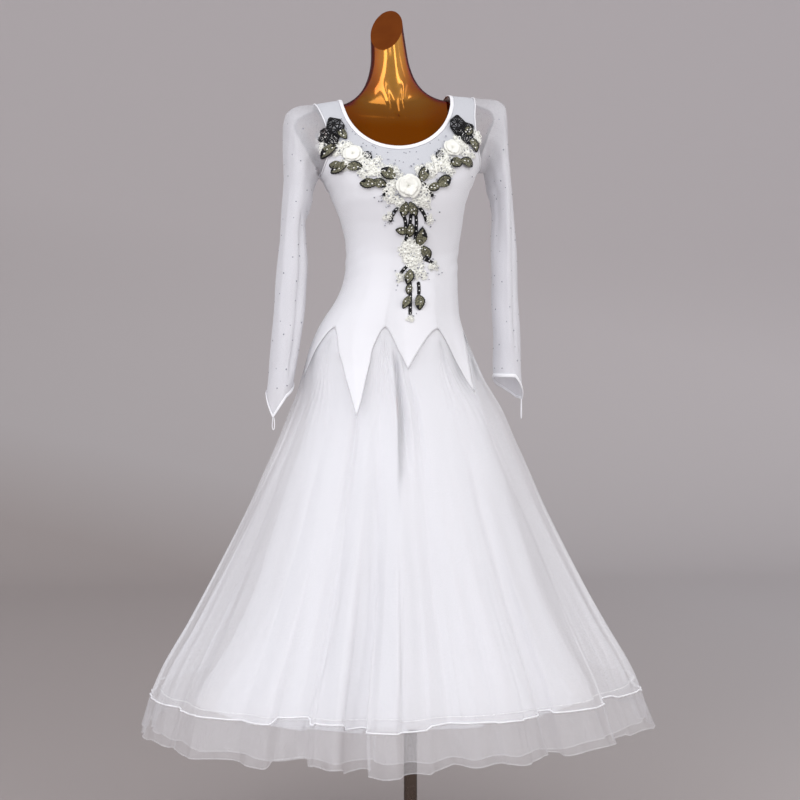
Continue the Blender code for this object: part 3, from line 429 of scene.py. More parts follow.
TRUNK = [
    Section(1.011, -0.0336, 0.1236, 0.008, 0.099, 0.097, 2.1),
    Section(1.039, -0.0262, 0.1124, 0.005, 0.091, 0.091, 2.1),
    Section(1.067, -0.0208, 0.1050, 0.002, 0.083, 0.082, 2.1),
    Section(1.095, -0.0178, 0.1012, -0.001, 0.077, 0.076, 2.1),
    Section(1.123, -0.0170, 0.1002, -0.002, 0.075, 0.072, 2.1),
    Section(1.151, -0.0155, 0.1020, -0.001, 0.082, 0.076, 2.1),
    Section(1.179, -0.0160, 0.1068, 0.000, 0.093, 0.082, 2.1),
    Section(1.207, -0.0185, 0.1124, 0.001, 0.106, 0.087, 2.2),
    Section(1.235, -0.0210, 0.1208, 0.002, 0.116, 0.091, 2.3),
    Section(1.263, -0.0212, 0.1332, 0.003, 0.117, 0.093, 2.4),
    Section(1.300, -0.0230, 0.1530, 0.004, 0.106, 0.094, 2.4),
    Section(1.330, -0.0240, 0.1690, 0.007, 0.091, 0.089, 2.4),
    Section(1.360, -0.0250, 0.1840, 0.011, 0.076, 0.080, 2.3),
    Section(1.385, -0.0265, 0.1950, 0.015, 0.062, 0.069, 2.2),
    Section(1.398, -0.0270, 0.1910, 0.017, 0.054, 0.060, 2.1),
    Section(1.408, -0.0280, 0.1745, 0.018, 0.049, 0.053, 2.0),
    Section(1.4165, -0.0290, 0.1495, 0.019, 0.044, 0.048, 2.0),
    Section(1.4215, -0.0300, 0.1045, 0.020, 0.042, 0.045, 2.0),
    Section(1.428, -0.0315, 0.0780, 0.020, 0.041, 0.043, 2.0),
    Section(1.438, -0.0330, 0.0570, 0.020, 0.040, 0.041, 2.0),
    Section(1.456, -0.0345, 0.0430, 0.020, 0.039, 0.039, 2.0),
    Section(1.497, -0.0365, 0.0350, 0.020, 0.037, 0.037, 2.0),
    Section(1.550, -0.0410, 0.0310, 0.020, 0.034, 0.034, 2.0),
    Section(1.620, -0.0460, 0.0270, 0.020, 0.030, 0.030, 2.0),
]
FORM_HIPS = [
    Section(0.7445, -0.0330, 0.0880, 0.008, 0.055, 0.065, 2.0),
    Section(0.7500, -0.0330, 0.1020, 0.008, 0.065, 0.077, 2.0),
    Section(0.7700, -0.0330, 0.1260, 0.008, 0.080, 0.096, 2.0),
    Section(0.8050, -0.0335, 0.1430, 0.008, 0.091, 0.110, 2.0),
    Section(0.8500, -0.0335, 0.1490, 0.008, 0.095, 0.116, 2.0),
    Section(0.9000, -0.0335, 0.1500, 0.008, 0.098, 0.117, 2.1),
    Section(0.9350, -0.0345, 0.1470, 0.008, 0.098, 0.115, 2.1),
    Section(0.9600, -0.0360, 0.1425, 0.009, 0.100, 0.109, 2.1),
    Section(0.9830, -0.0365, 0.1350, 0.009, 0.101, 0.104, 2.1),
]
SKIRT = [
    Section(0.240, -0.0215, 0.4730, 0.000, 0.452, 0.454, 2.0),
    Section(0.322, -0.0274, 0.4480, 0.000, 0.428, 0.430, 2.0),
    Section(0.365, -0.0265, 0.4305, 0.000, 0.411, 0.413, 2.0),
    Section(0.450, -0.0260, 0.3820, 0.000, 0.364, 0.367, 2.0),
    Section(0.562, -0.0260, 0.3230, 0.000, 0.302, 0.307, 2.0),
    Section(0.674, -0.0255, 0.2680, 0.001, 0.242, 0.248, 2.0),
    Section(0.730, -0.0250, 0.2440, 0.002, 0.214, 0.221, 2.0),
    Section(0.786, -0.0248, 0.2190, 0.004, 0.184, 0.194, 2.0),
    Section(0.842, -0.0255, 0.1955, 0.006, 0.156, 0.168, 2.0),
    Section(0.870, -0.0280, 0.1815, 0.007, 0.141, 0.154, 2.0),
    Section(0.898, -0.0320, 0.1690, 0.008, 0.128, 0.141, 2.0),
    Section(0.926, -0.0345, 0.1586, 0.008, 0.116, 0.129, 2.0),
    Section(0.955, -0.0368, 0.1475, 0.008, 0.108, 0.118, 2.1),
    Section(0.983, -0.0368, 0.1358, 0.008, 0.103, 0.107, 2.1),
]

# %% Flutes
Fold = namedtuple("Fold", "angle width out")

FOLDS = [
    Fold(-8, 5.0, 0.016),
    Fold(-17, 2.8, -0.020),
    Fold(-22, 3.2, 0.008),
    Fold(-28, 3.0, -0.012),
    Fold(-38, 5.0, 0.008),
    Fold(-45, 3.2, -0.010),
    Fold(-58, 6.0, 0.010),
    Fold(-69, 4.0, -0.014),
    Fold(-84, 6.5, 0.003),
    Fold(-99, 4.5, -0.004),
    Fold(-113, 6.0, 0.012),
    Fold(-127, 3.5, -0.017),
    Fold(-139, 5.5, 0.011),
    Fold(-151, 3.6, -0.013),
    Fold(-163, 5.5, 0.013),
    Fold(-175, 3.4, -0.018),
    Fold(174, 4.8, 0.009),
    Fold(161, 3.8, -0.012),
    Fold(148, 6.0, 0.014),
    Fold(134, 4.0, -0.016),
    Fold(119, 6.0, 0.010),
    Fold(105, 4.2, -0.014),
    Fold(90, 6.5, 0.004),
    Fold(75, 4.0, -0.009),
    Fold(61, 5.0, 0.011),
    Fold(49, 3.4, -0.012),
    Fold(38, 5.0, 0.013),
    Fold(25, 3.0, -0.015),
    Fold(15, 5.0, 0.008),
    Fold(2, 3.0, -0.015),
]
FOLD_TOP = 0.95
FOLD_FULL = 0.34
FOLD_GROWTH = 0.8
UNDER_FOLDS = 0.7  # the underskirt's folds are this share of the skirt's


def smooth_step(share):
    share = np.clip(share, 0.0, 1.0)
    return share * share * (3.0 - 2.0 * share)


def fold_depth(angle, z):
    """How far the skirt's folds stand out here, negative in a valley."""
    grow = smooth_step((FOLD_TOP - z) / (FOLD_TOP - FOLD_FULL)) ** FOLD_GROWTH
    depth = np.zeros(np.broadcast(angle, z).shape)
    for fold in FOLDS:
        away = (np.asarray(angle) - fold.angle + 180) % 360 - 180
        depth = depth + fold.out * np.exp(-((away / fold.width) ** 2))
    return depth * grow


print(len(FOLDS), "folds, up to", max(abs(fold.out) for fold in FOLDS), "m deep")


# %% A smooth curve
def through(xs, ys, x):
    """A smooth curve through rows that rises and falls only where they do."""
    xs = np.asarray(xs, float)
    ys = np.asarray(ys, float)
    step = np.diff(xs)
    slope = np.diff(ys) / step
    turn = np.zeros(len(xs))
    turn[0] = slope[0]
    turn[-1] = slope[-1]
    for i in range(1, len(xs) - 1):
        if slope[i - 1] * slope[i] > 0:
            before = 2 * step[i] + step[i - 1]
            after = step[i] + 2 * step[i - 1]
            turn[i] = (before + after) / (before / slope[i - 1] + after / slope[i])
    x = np.clip(x, xs[0], xs[-1])
    at = np.clip(np.searchsorted(xs, x, side="right") - 1, 0, len(xs) - 2)
    t = (x - xs[at]) / step[at]
    low = (1 + 2 * t) * (1 - t) ** 2 * ys[at] + t * (1 - t) ** 2 * step[at] * turn[at]
    high = t * t * (3 - 2 * t) * ys[at + 1] + t * t * (t - 1) * step[at] * turn[at + 1]
    return low + high


# %% A smooth surface through the ovals
SHOULDER_TILT = 0.07  # the +X shoulder stands higher: metres of rise for each metre across
TILT_FROM = 1.18
TILT_OVER = 0.18
REACH_STEPS = 1200
SMALL_TURN = 0.5
SMALL_RISE = 0.0008
NEVER_ZERO = 1e-12


class Surface:
    """The smooth surface through a list of sections."""

    def __init__(self, sections):
        self.sections = sections
        self.z = [s.z for s in sections]
        self.fine_z = np.linspace(self.z[0], self.z[-1], REACH_STEPS)
        steps = np.hypot(np.diff(self.fine_z), np.diff(self.column("half", self.fine_z)))
        self.fine_reach = np.concatenate([[0.0], np.cumsum(steps)])

    def column(self, name, z):
        """One of a section's numbers, at any height."""
        return through(self.z, [getattr(s, name) for s in self.sections], z)

    def reach(self, z):
        """Length along the side, from the lowest section up to this height."""
        return np.interp(z, self.fine_z, self.fine_reach)

    def height(self, reach):
        """The height at this length along the side."""
        return np.interp(reach, self.fine_reach, self.fine_z)

    def angle(self, across, z, at_back=False):
        """The angle of a place this far across from the middle line, on the front or the back."""
        share = np.minimum(1.0, np.abs(across) / self.column("half", z))
        turned = np.degrees(np.arcsin(share ** (self.column("roundness", z) / 2))) * np.sign(across)
        return 180 - turned if at_back else turned

    def across(self, angle, z):
        """How far a place lies from the middle line, towards +X."""
        s = np.sin(np.radians(angle))
        return np.sign(s) * np.abs(s) ** (2.0 / self.column("roundness", z)) * self.column("half", z)

    def bare(self, angle, z, folds):
        """A place on the surface itself; folds is the share of the skirt's folds that it has."""
        c = np.cos(np.radians(angle))
        out = fold_depth(angle, z) * folds
        depth = np.where(c > 0, self.column("front", z), self.column("back", z)) + out
        across = self.across(angle, z) * (1 + out / self.column("half", z))
        along = -np.sign(c) * np.abs(c) ** (2.0 / self.column("roundness", z)) * depth
        tilt = SHOULDER_TILT * smooth_step((z - TILT_FROM) / TILT_OVER)
        return np.stack(
            [self.column("centre_x", z) + across, self.column("side_y", z) + along, z + tilt * across], -1
        )

    def normal(self, angle, z, folds=1.0):
        """The outward direction, square to a small step round and a small step up."""
        round_it = self.bare(angle + SMALL_TURN, z, folds) - self.bare(angle - SMALL_TURN, z, folds)
        upwards = self.bare(angle, z + SMALL_RISE, folds) - self.bare(angle, z - SMALL_RISE, folds)
        normal = np.cross(round_it, upwards)
        return normal / np.maximum(np.linalg.norm(normal, axis=-1, keepdims=True), NEVER_ZERO)

    def point(self, angle, z, out=0.0, folds=1.0):
        """A place on the surface, moved out along its normal."""
        angle = np.asarray(angle, float)
        z = np.asarray(z, float)
        return self.bare(angle, z, folds) + self.normal(angle, z, folds) * np.asarray(out)[..., None]


# %% The form's and the dress's surfaces
EASE = 0.005
EASE_FROM = 1.28
EASE_TO = 1.456


def eased(section):
    """A section of the form's trunk, drawn in round the shoulders, where the cloth bridges."""
    rising = smooth_step((section.z - EASE_FROM) / 0.08)
    ease = EASE * float(rising * smooth_step((EASE_TO - section.z) / 0.035))
    return section._replace(
        z=section.z - ease, half=section.half - ease, front=section.front - ease, back=section.back - ease
    )


FORM = Surface(FORM_HIPS + [eased(section) for section in TRUNK])
DRESS = Surface(SKIRT + TRUNK)
hem_to_waist = float(DRESS.reach(WAIST_Z) - DRESS.reach(HEM_Z))
print("from hem to waist along the side:", round(hem_to_waist, 3), "m")


# %% [markdown]
# ## Hanging a cut of cloth
#
# A panel starts as what it is on the cutting table: a flat grid with its own cut coordinates in metres. Each
# of its points is then moved to its place on the body, as a dressmaker pins cloth to a form. A tube of cloth
# is the same grid with its two edges sewn, and Solidify gives the thicker cloths their wall.


# %% Hanging
MERGE = 0.00001


def hang(name, places, look, closed=False, thick=0.0):
    """A sheet through a grid of places, indexed [column][row], with columns round and rows up."""
    columns, rows = places.shape[0] - 1, places.shape[1] - 1
    bpy.ops.object.select_all(action="DESELECT")
    bpy.ops.mesh.primitive_grid_add(x_subdivisions=columns, y_subdivisions=rows, size=1.0)
    piece = bpy.context.active_object
    piece.name = name
    piece.data.name = name
    middle = places[:, rows // 2]
    wide = np.linalg.norm(np.diff(middle, axis=0), axis=1).sum()
    tall = np.linalg.norm(np.diff(places[columns // 2], axis=0), axis=1).sum()
    uv = np.zeros(len(piece.data.loops) * 2)
    piece.data.uv_layers.active.data.foreach_get("uv", uv)
    uv = uv.reshape(-1, 2) * (wide, tall)
    piece.data.uv_layers.active.data.foreach_set("uv", uv.ravel())
    piece.data.vertices.foreach_set("co", places.transpose(1, 0, 2).ravel())
    piece.data.update()
    if closed:
        bpy.ops.object.mode_set(mode="EDIT")
        bpy.ops.mesh.select_all(action="SELECT")
        bpy.ops.mesh.remove_doubles(threshold=MERGE)
        bpy.ops.object.mode_set(mode="OBJECT")
    if thick:
        wall = piece.modifiers.new("wall", "SOLIDIFY")
        wall.thickness = thick
        wall.offset = -1.0
        bpy.ops.object.modifier_apply(modifier="wall")
    piece.data.shade_smooth()
    piece.data.materials.append(look.material)
    print(name, len(piece.data.polygons), "faces, cut about", round(wide, 2), "by", round(tall, 2), "m")
    return piece


# %% Joining the frame
def belongs(piece, slot_name, *nodes):
    """The piece stands in for these nodes of the rigid model, which are hidden, and hangs from the root.

    slot_name is not used.
    """
    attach(piece, "root")
    if nodes:
        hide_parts(*nodes)
    return piece


def cloth(name, places, look, slot_name, nodes, closed=False, thick=0.0):
    """A sheet hung through these places, with its flat cut.

    The cut is as wide as its middle row is round, and as long as its middle column.
    """
    piece = belongs(hang(name, places, look, closed, thick), slot_name, *nodes)


# %% Grids between two edges
def between(lower, upper, rows, ease=1.0):
    """Angles and heights of a grid between two edges, each a list of (angle, height)."""
    low = np.array(lower, float)
    high = np.array(upper, float)
    share = 1 - (1 - np.linspace(0, 1, rows + 1)) ** ease
    angle = low[:, None, 0] + (high - low)[:, None, 0] * share
    start = DRESS.reach(low[:, 1])
    end = DRESS.reach(high[:, 1])
    return angle, DRESS.height(start[:, None] + (end - start)[:, None] * share)


def straight(lower, upper, rows, at_back):
    """A grid whose columns run straight between two edges, as seen from the front or the back."""
    low = np.array(lower, float)
    high = np.array(upper, float)
    share = np.linspace(0, 1, rows + 1)
    start = DRESS.reach(low[:, 1])
    end = DRESS.reach(high[:, 1])
    z = DRESS.height(start[:, None] + (end - start)[:, None] * share)
    low_across = DRESS.across(low[:, 0], low[:, 1])
    high_across = DRESS.across(high[:, 0], high[:, 1])
    across = low_across[:, None] + (high_across - low_across)[:, None] * share
    angle = DRESS.angle(across, z, at_back)
    angle[:, 0] = low[:, 0]
    angle[:, -1] = high[:, 0]
    upright = np.isclose(low[:, 0], high[:, 0], atol=0.2)
    on_side = upright & np.isclose(abs(low[:, 0] % 180), 90, atol=0.2)
    angle[on_side] = low[on_side, 0][:, None]
    return angle, z


CHEST_RADIUS = 0.15  # turns an angle round the chest into a length


def drawn(edge, count):
    """An edge of (angle, height) places, laid again with this many even steps along its length."""
    edge = np.array(edge, float)
    flat = np.stack([np.radians(edge[:, 0]) * CHEST_RADIUS, DRESS.reach(edge[:, 1])], -1)
    run = np.concatenate([[0.0], np.cumsum(np.linalg.norm(np.diff(flat, axis=0), axis=1))])
    even = np.linspace(0, run[-1], count + 1)
    return np.stack([np.interp(even, run, edge[:, 0]), np.interp(even, run, edge[:, 1])], -1)


# %% [markdown]
# ## The edges of the cut
#
# Where two panels meet, both take their edge from one line, so the seam closes. The petals' edge is a row of
# pointed arches round the hips, the armholes and the neckline are smooth curves, and the yoke's lower edge
# is a shallow V.

# %% Petals
Godet = namedtuple("Godet", "tip tip_z peak peak_z")

GODETS = [
    Godet(-82, 0.905, -57, 0.992),
    Godet(-29, 0.830, -11, 0.992),
    Godet(3, 0.915, 31, 0.990),
    Godet(46, 0.874, 75, 0.988),
    Godet(98, 0.880, 120, 0.990),
    Godet(143, 0.862, 166, 0.992),
    Godet(188, 0.880, 211, 0.992),
    Godet(233, 0.866, 255, 0.990),
]
PETAL_STEPS = 24
PETAL_POWER = 0.6  # below 1, an arch is round at its peak and its sides run straight to the tips


def petal_edge():
    """The pointed seam round the hips, from the first tip once round, as (angle, height)."""
    edge = []
    shares = np.linspace(0, 1, PETAL_STEPS + 1) ** 2
    for i, godet in enumerate(GODETS):
        following = GODETS[(i + 1) % len(GODETS)]
        next_tip = following.tip + (360 if i + 1 == len(GODETS) else 0)
        for share in shares[:0:-1]:
            angle = godet.peak + (godet.tip - godet.peak) * share**PETAL_POWER
            edge.append((angle, godet.peak_z + (godet.tip_z - godet.peak_z) * share))
        for share in shares[:-1]:
            angle = godet.peak + (next_tip - godet.peak) * share**PETAL_POWER
            edge.append((angle, godet.peak_z + (following.tip_z - godet.peak_z) * share))
    edge.append((edge[0][0] + 360, edge[0][1]))
    return edge


tip_heights = [godet.tip_z for godet in GODETS]
print(len(GODETS), "petals, their tips from", min(tip_heights), "to", max(tip_heights), "m up")

# %% Neck and armholes
NECK_HALF = 0.1070
NECK_LEAN = 0.010  # how far the lowest place lies towards -X
NECK_Z = 1.4215
NECK_DROP_FRONT = 0.108
NECK_DROP_BACK = 0.030
NECK_SQUARE = 0.12  # above 0, the neckline is fuller at its corners than an oval
V_POINT_Z = 1.262
V_CURVE = 0.80
Spot = namedtuple("Spot", "across z")

ARMHOLE_FRONT = [
    Spot(0.1495, 1.4165),
    Spot(0.1475, 1.4100),
    Spot(0.1440, 1.3960),
    Spot(0.1375, 1.3700),
    Spot(0.1350, 1.3430),
    Spot(0.1360, 1.3180),
    Spot(0.1410, 1.2980),
    Spot(0.1450, 1.2830),
]
ARMHOLE_BACK = [
    Spot(0.1495, 1.4165),
    Spot(0.1485, 1.4100),
    Spot(0.1470, 1.3960),
    Spot(0.1440, 1.3700),
    Spot(0.1425, 1.3430),
    Spot(0.1430, 1.3180),
    Spot(0.1445, 1.2980),
    Spot(0.1450, 1.2830),
]
ARMHOLE_STEPS = 56
YOKE_SHARE = 4 / 7  # the V seam meets the armhole this far down it
RIDGE = TRUNK[16:20]  # the sections along the top of the shoulder


def armhole_edge(side, at_back=False, steps=ARMHOLE_STEPS):
    """From the shoulder down to the armpit, as (angle, height). side is 1 at +X and -1 at -X."""
    spots = ARMHOLE_BACK if at_back else ARMHOLE_FRONT
    at = np.linspace(0, len(spots) - 1, steps + 1)
    across = through(range(len(spots)), [s.across for s in spots], at)
    z = through(range(len(spots)), [s.z for s in spots], at)
    angle = DRESS.angle(side * across, z, at_back)
    angle[0] = angle[-1] = 180.0 - 90.0 * side if at_back else 90.0 * side
    return list(zip(angle, z))


def neck_edge(steps, grow=0.0, at_back=False):
    """The neckline from -X to +X over the front, or on from +X to -X over the back.

    grow is how far in it lies from the cloth's own edge.
    """
    drop = (NECK_DROP_BACK if at_back else NECK_DROP_FRONT) - grow
    half = NECK_HALF - grow
    ridge = float(np.interp(-half, [-s.half for s in RIDGE], [s.z for s in RIDGE]))
    share = np.linspace(0, 1, steps + 1)
    turn = np.pi * (share - NECK_SQUARE * np.sin(2 * np.pi * share))
    z = ridge - (ridge - (NECK_Z - drop)) * np.sin(turn)
    lean = 0.0 if at_back else NECK_LEAN
    angle = DRESS.angle(-half * np.cos(turn) - lean * np.sin(turn), z)
    angle[0] = -90.0
    angle[-1] = 90.0
    return list(zip(angle + 180 if at_back else angle, z))


def v_edge(steps):
    """The yoke's lower seam from the -X armhole down to the V's point and up to the +X one."""
    start = np.array(armhole_edge(1))[round(ARMHOLE_STEPS * YOKE_SHARE)]
    out = float(DRESS.across(start[0], start[1]))
    share = np.linspace(-1, 1, steps + 1)
    z = V_POINT_Z + (start[1] - V_POINT_Z) * np.abs(share) ** (1 / V_CURVE)
    return list(zip(DRESS.angle(out * share, z), z))


print("neckline", 2 * NECK_HALF, "m wide and", NECK_DROP_FRONT, "m deep in front")

# %% [markdown]
# ## The bodice
#
# The front and the back are each one panel from the petals to the neck or yoke. Its columns are evenly
# spaced at the bust, fan out to the petals' edge below and run straight up to the armholes and the V above.
# Stretch crepe hugs the body, so only faint drag lines show, towards the armpits and at the waist.

# %% Bodice panels
BODICE_COLUMNS = 8 * PETAL_STEPS
BUST_Z = 1.245
LOW_ROWS = 56
TOP_ROWS = 30
CREPE_THICK = 0.0012
DRAG_DEPTH = 0.0006
ARMPIT_DRAG_Z = 1.262
WAIST_DRAG_Z = 1.118


def drag_lines(angle, z):
    """Faint pulls in the stretch cloth: slanting down from the armpits, and level at the waist."""
    side = np.abs(np.sin(np.radians(angle)))
    at_armpit = np.exp(-(((z - ARMPIT_DRAG_Z) / 0.045) ** 2)) * smooth_step((side - 0.75) / 0.25)
    slant = np.sin((z + 0.10 * side) * 260)
    at_waist = np.exp(-(((z - WAIST_DRAG_Z) / 0.035) ** 2)) * smooth_step((side - 0.55) / 0.4)
    level = np.sin(z * 230 + 2.5 * np.sin(np.radians(angle * 3)))
    return DRAG_DEPTH * at_armpit * slant + DRAG_DEPTH * at_waist * level


def bodice_panel(name, low, top, first_angle):
    """Half the bodice, from its petals' edge to its top edge, over 180 degrees from the first angle."""
    bust = [(first_angle + 180 * share, BUST_Z) for share in np.linspace(0, 1, len(low))]
    low_angle, low_z = between(low, bust, LOW_ROWS)
    top_angle, top_z = straight(bust, drawn(top, len(low) - 1), TOP_ROWS, at_back=first_angle > 0)
    angle = np.concatenate([low_angle[:, :-1], top_angle], axis=1)
    z = np.concatenate([low_z[:, :-1], top_z], axis=1)
    places = DRESS.point(angle, z, CLEAR + CLOTH + drag_lines(angle, z))
    cloth(name, places, crepe, "stretch_cloth", [name], thick=CREPE_THICK)


# %% Bodice front and back
NECK_STEPS = 60
RIDGE_STEPS = 12

edge = petal_edge()
yoke_start = round(ARMHOLE_STEPS * YOKE_SHARE)
left_hole = armhole_edge(-1)
right_hole = armhole_edge(1)
front_top = left_hole[:yoke_start:-1] + v_edge(NECK_STEPS) + right_hole[yoke_start + 1 :]
bodice_panel("bodice_front", edge[: BODICE_COLUMNS + 1], front_top, -90)

rear_right = armhole_edge(1, at_back=True)
rear_left = armhole_edge(-1, at_back=True)
back_neck = neck_edge(NECK_STEPS, at_back=True)
ridge_ends = DRESS.reach(ARMHOLE_FRONT[0].z), DRESS.reach(neck_edge(NECK_STEPS)[0][1])
ridge_z = DRESS.height(np.linspace(*ridge_ends, RIDGE_STEPS + 1))
right_ridge = [(90.0, z) for z in ridge_z]
left_ridge = [(270.0, z) for z in ridge_z[::-1]]
back_top = rear_right[:0:-1] + right_ridge[:-1] + back_neck + left_ridge[1:] + rear_left[1:]
bodice_panel("bodice_back", edge[BODICE_COLUMNS:], back_top, 90)

# %% [markdown]
# ## The yoke and the neck's binding
#
# The yoke fills the space between the V and the neckline with lined mesh, which looks greyer than the crepe.
# A folded satin strip is sewn over the neck's raw edge: it is a narrow band, rounded across.

# %% Yoke
YOKE_COLUMNS = 150
YOKE_ROWS = 24
FRONT_NECK_STEPS = 120
YOKE_INSET = 0.0002  # it lies this much lower than the bodice
YOKE_THICK = 0.001

yoke_low = left_hole[:yoke_start] + v_edge(90) + right_hole[: yoke_start + 1][-2::-1]
yoke_low = drawn(yoke_low, YOKE_COLUMNS)
yoke_top = drawn(neck_edge(FRONT_NECK_STEPS), YOKE_COLUMNS)
yoke_angle, yoke_z = straight(yoke_low, yoke_top, YOKE_ROWS, at_back=False)
yoke_places = DRESS.point(yoke_angle, yoke_z, CLEAR + CLOTH - YOKE_INSET)
nodes, carrier = ["yoke_front"], ["form_torso"]
cloth("yoke_front", yoke_places, yoke_mesh, "mesh_cloth", nodes, thick=YOKE_THICK)

# %% Neck binding
BINDING_WIDTH = 0.0065
BINDING_ROWS = 8
BINDING_LIFT = 0.0004
BINDING_CROWN = 0.0009
BINDING_THICK = 0.0012

binding_rows = []
for share in np.linspace(0, 1, BINDING_ROWS + 1):
    inwards = BINDING_WIDTH * share
    line = neck_edge(FRONT_NECK_STEPS, inwards)[:-1] + neck_edge(NECK_STEPS, inwards, at_back=True)
    line = np.array(line)
    line[-1] = line[0] + (360, 0)
    lift = CLEAR + CLOTH + BINDING_LIFT + BINDING_CROWN * np.sin(np.pi * share)
    binding_rows.append(DRESS.point(line[:, 0], line[:, 1], lift))
binding_places = np.stack(binding_rows, axis=1)
neck_binding = hang("neck_binding", binding_places, satin, closed=True, thick=BINDING_THICK)
belongs(neck_binding, "stretch_cloth", "neck_binding")

# %% [markdown]
# ## The skirt
#
# Eight godets, wedges of tulle, fill the arches between the petals and run to the hem. Below them a band of
# horsehair braid, sewn on along a white corded seam, holds the hem out. Inside hangs an underskirt with a
# braid of its own, a little shorter, so two soft edges show through each other. The fine pleats start where
# the tulle is gathered in to the petals' seam.

# %% Pleats
SEAM_Z = 0.332
SEAM_RISE = 0.008
BRAID_DROP = 0.066
Pleat = namedtuple("Pleat", "angle width depth top bottom")

PLEATS = [
    Pleat(-3.9, 1.4, -0.014, 0.965, 0.68),
    Pleat(-1.4, 1.1, 0.004, 0.950, 0.66),
    Pleat(-6.8, 1.1, 0.003, 0.960, 0.70),
    Pleat(3.0, 1.3, -0.005, 0.915, 0.70),
    Pleat(31.0, 1.5, -0.005, 0.975, 0.76),
    Pleat(-29.0, 1.4, -0.006, 0.860, 0.60),
    Pleat(46.0, 1.4, -0.006, 0.890, 0.62),
    Pleat(98.0, 1.6, -0.007, 0.880, 0.62),
    Pleat(143.0, 1.6, -0.006, 0.862, 0.60),
    Pleat(188.0, 1.5, -0.007, 0.880, 0.62),
    Pleat(233.0, 1.6, -0.006, 0.866, 0.60),
    Pleat(-82.0, 1.6, -0.007, 0.905, 0.62),
]
print(len(PLEATS), "pleats")

# %% [markdown]
# Tulle is stiff, so near the hem it breaks into flat panels with sharp sides, as a box pleat does. A tuck is
# such a panel: it stands in or out between two angles, and where it stands back its hem rides higher.

# %% Tucks
Tuck = namedtuple("Tuck", "start end out drop")
TUCK_TOP = 0.62
TUCK_FULL = 0.34
TUCK_SIDE = 0.6  # degrees over which a tuck's side turns

TUCKS = [
    Tuck(-36.0, -28.5, -0.012, -0.014),
    Tuck(-26.5, -20.5, 0.004, -0.003),
    Tuck(-20.5, -14.8, -0.006, 0.003),
    Tuck(-14.5, -8.6, 0.014, 0.010),
    Tuck(-8.6, -2.8, -0.004, 0.005),
    Tuck(12.0, 18.0, 0.005, 0.002),
    Tuck(24.0, 27.5, -0.008, -0.006),
    Tuck(43.0, 52.0, -0.007, -0.004),
    Tuck(63.0, 68.0, 0.006, 0.003),
    Tuck(-64.0, -57.0, -0.004, -0.001),
    Tuck(92.0, 98.0, -0.009, -0.006),
    Tuck(112.0, 121.0, 0.008, 0.004),
    Tuck(131.0, 137.0, -0.010, -0.007),
    Tuck(152.0, 161.0, 0.007, 0.004),
    Tuck(170.0, 176.0, -0.011, -0.008),
    Tuck(184.0, 193.0, 0.010, 0.006),
    Tuck(203.0, 209.0, -0.008, -0.006),
    Tuck(221.0, 231.0, 0.007, 0.003),
    Tuck(244.0, 250.0, -0.010, -0.007),
]


def tucked(angle, column):
    """What the tucks add here, taken from one of their columns."""
    total = np.zeros(np.shape(angle))
    for tuck in TUCKS:
        middle = (tuck.start + tuck.end) / 2
        half = (tuck.end - tuck.start) / 2
        away = np.abs((np.asarray(angle) - middle + 180) % 360 - 180)
        total = total + getattr(tuck, column) * smooth_step((half - away) / TUCK_SIDE + 0.5)
    return total


def seam_height(angle):
    """Where the braid's seam runs: higher on the +X side, stepping at each tuck."""
    return SEAM_Z + SEAM_RISE * np.sin(np.radians(angle)) - tucked(angle, "drop")


# %% Gathers and ripples
RAY_DEPTH = 0.0011
RIPPLE_TOP = 0.78
BROAD_RIPPLE = 0.0026
FINE_RIPPLE = 0.0012


def gathers(angle, z):
    """Fine pleats that start in the seams: at the petals' tips and peaks, and rays below each peak."""
    depth = np.zeros(np.broadcast(angle, z).shape)
    for pleat in PLEATS:
        away = (angle - pleat.angle + 180) % 360 - 180
        grow = smooth_step((pleat.top - z) / 0.05) * smooth_step((z - pleat.bottom) / 0.16)
        depth = depth + pleat.depth * grow * np.exp(-((away / pleat.width) ** 2))
    for i, godet in enumerate(GODETS):
        away = (angle - godet.peak + 180) % 360 - 180
        fan = 0.10 + (godet.peak_z - z) / 0.16  # the rays spread as they go down
        grow = smooth_step((godet.peak_z - 0.004 - z) / 0.03) * smooth_step((z - 0.74) / 0.20)
        ray = np.sin(away / np.maximum(fan, 0.1) * 1.55 + i) * np.exp(-((away / (13 * fan + 1)) ** 2))
        depth = depth + RAY_DEPTH * grow * ray
    return depth


def skirt_detail(angle, z):
    """What the tulle adds to the long folds: gathers at the top, ripples and tucks at the hem."""
    low = smooth_step((RIPPLE_TOP - z) / 0.40)
    turn = np.radians(angle)
    broad = np.sin(31 * turn + 2.0 * np.sin(4 * turn + 1))
    fine = np.sin(59 * turn + 3.0 * np.sin(5 * turn) + 6 * z)
    ripple = BROAD_RIPPLE * (0.7 - np.abs(broad)) + FINE_RIPPLE * fine
    full = smooth_step((TUCK_TOP - z) / (TUCK_TOP - TUCK_FULL))
    return gathers(angle, z) + low * ripple + full * tucked(angle, "out")


# %% Godets
GODET_ROWS = 72
GODET_COLUMNS = 4 * PETAL_STEPS
TULLE_LIFT = 0.0006  # the tulle and the braid lie this much further out than the body's clearance
SPREAD = 1.3  # above 1, a grid's rows lie closer together towards its top

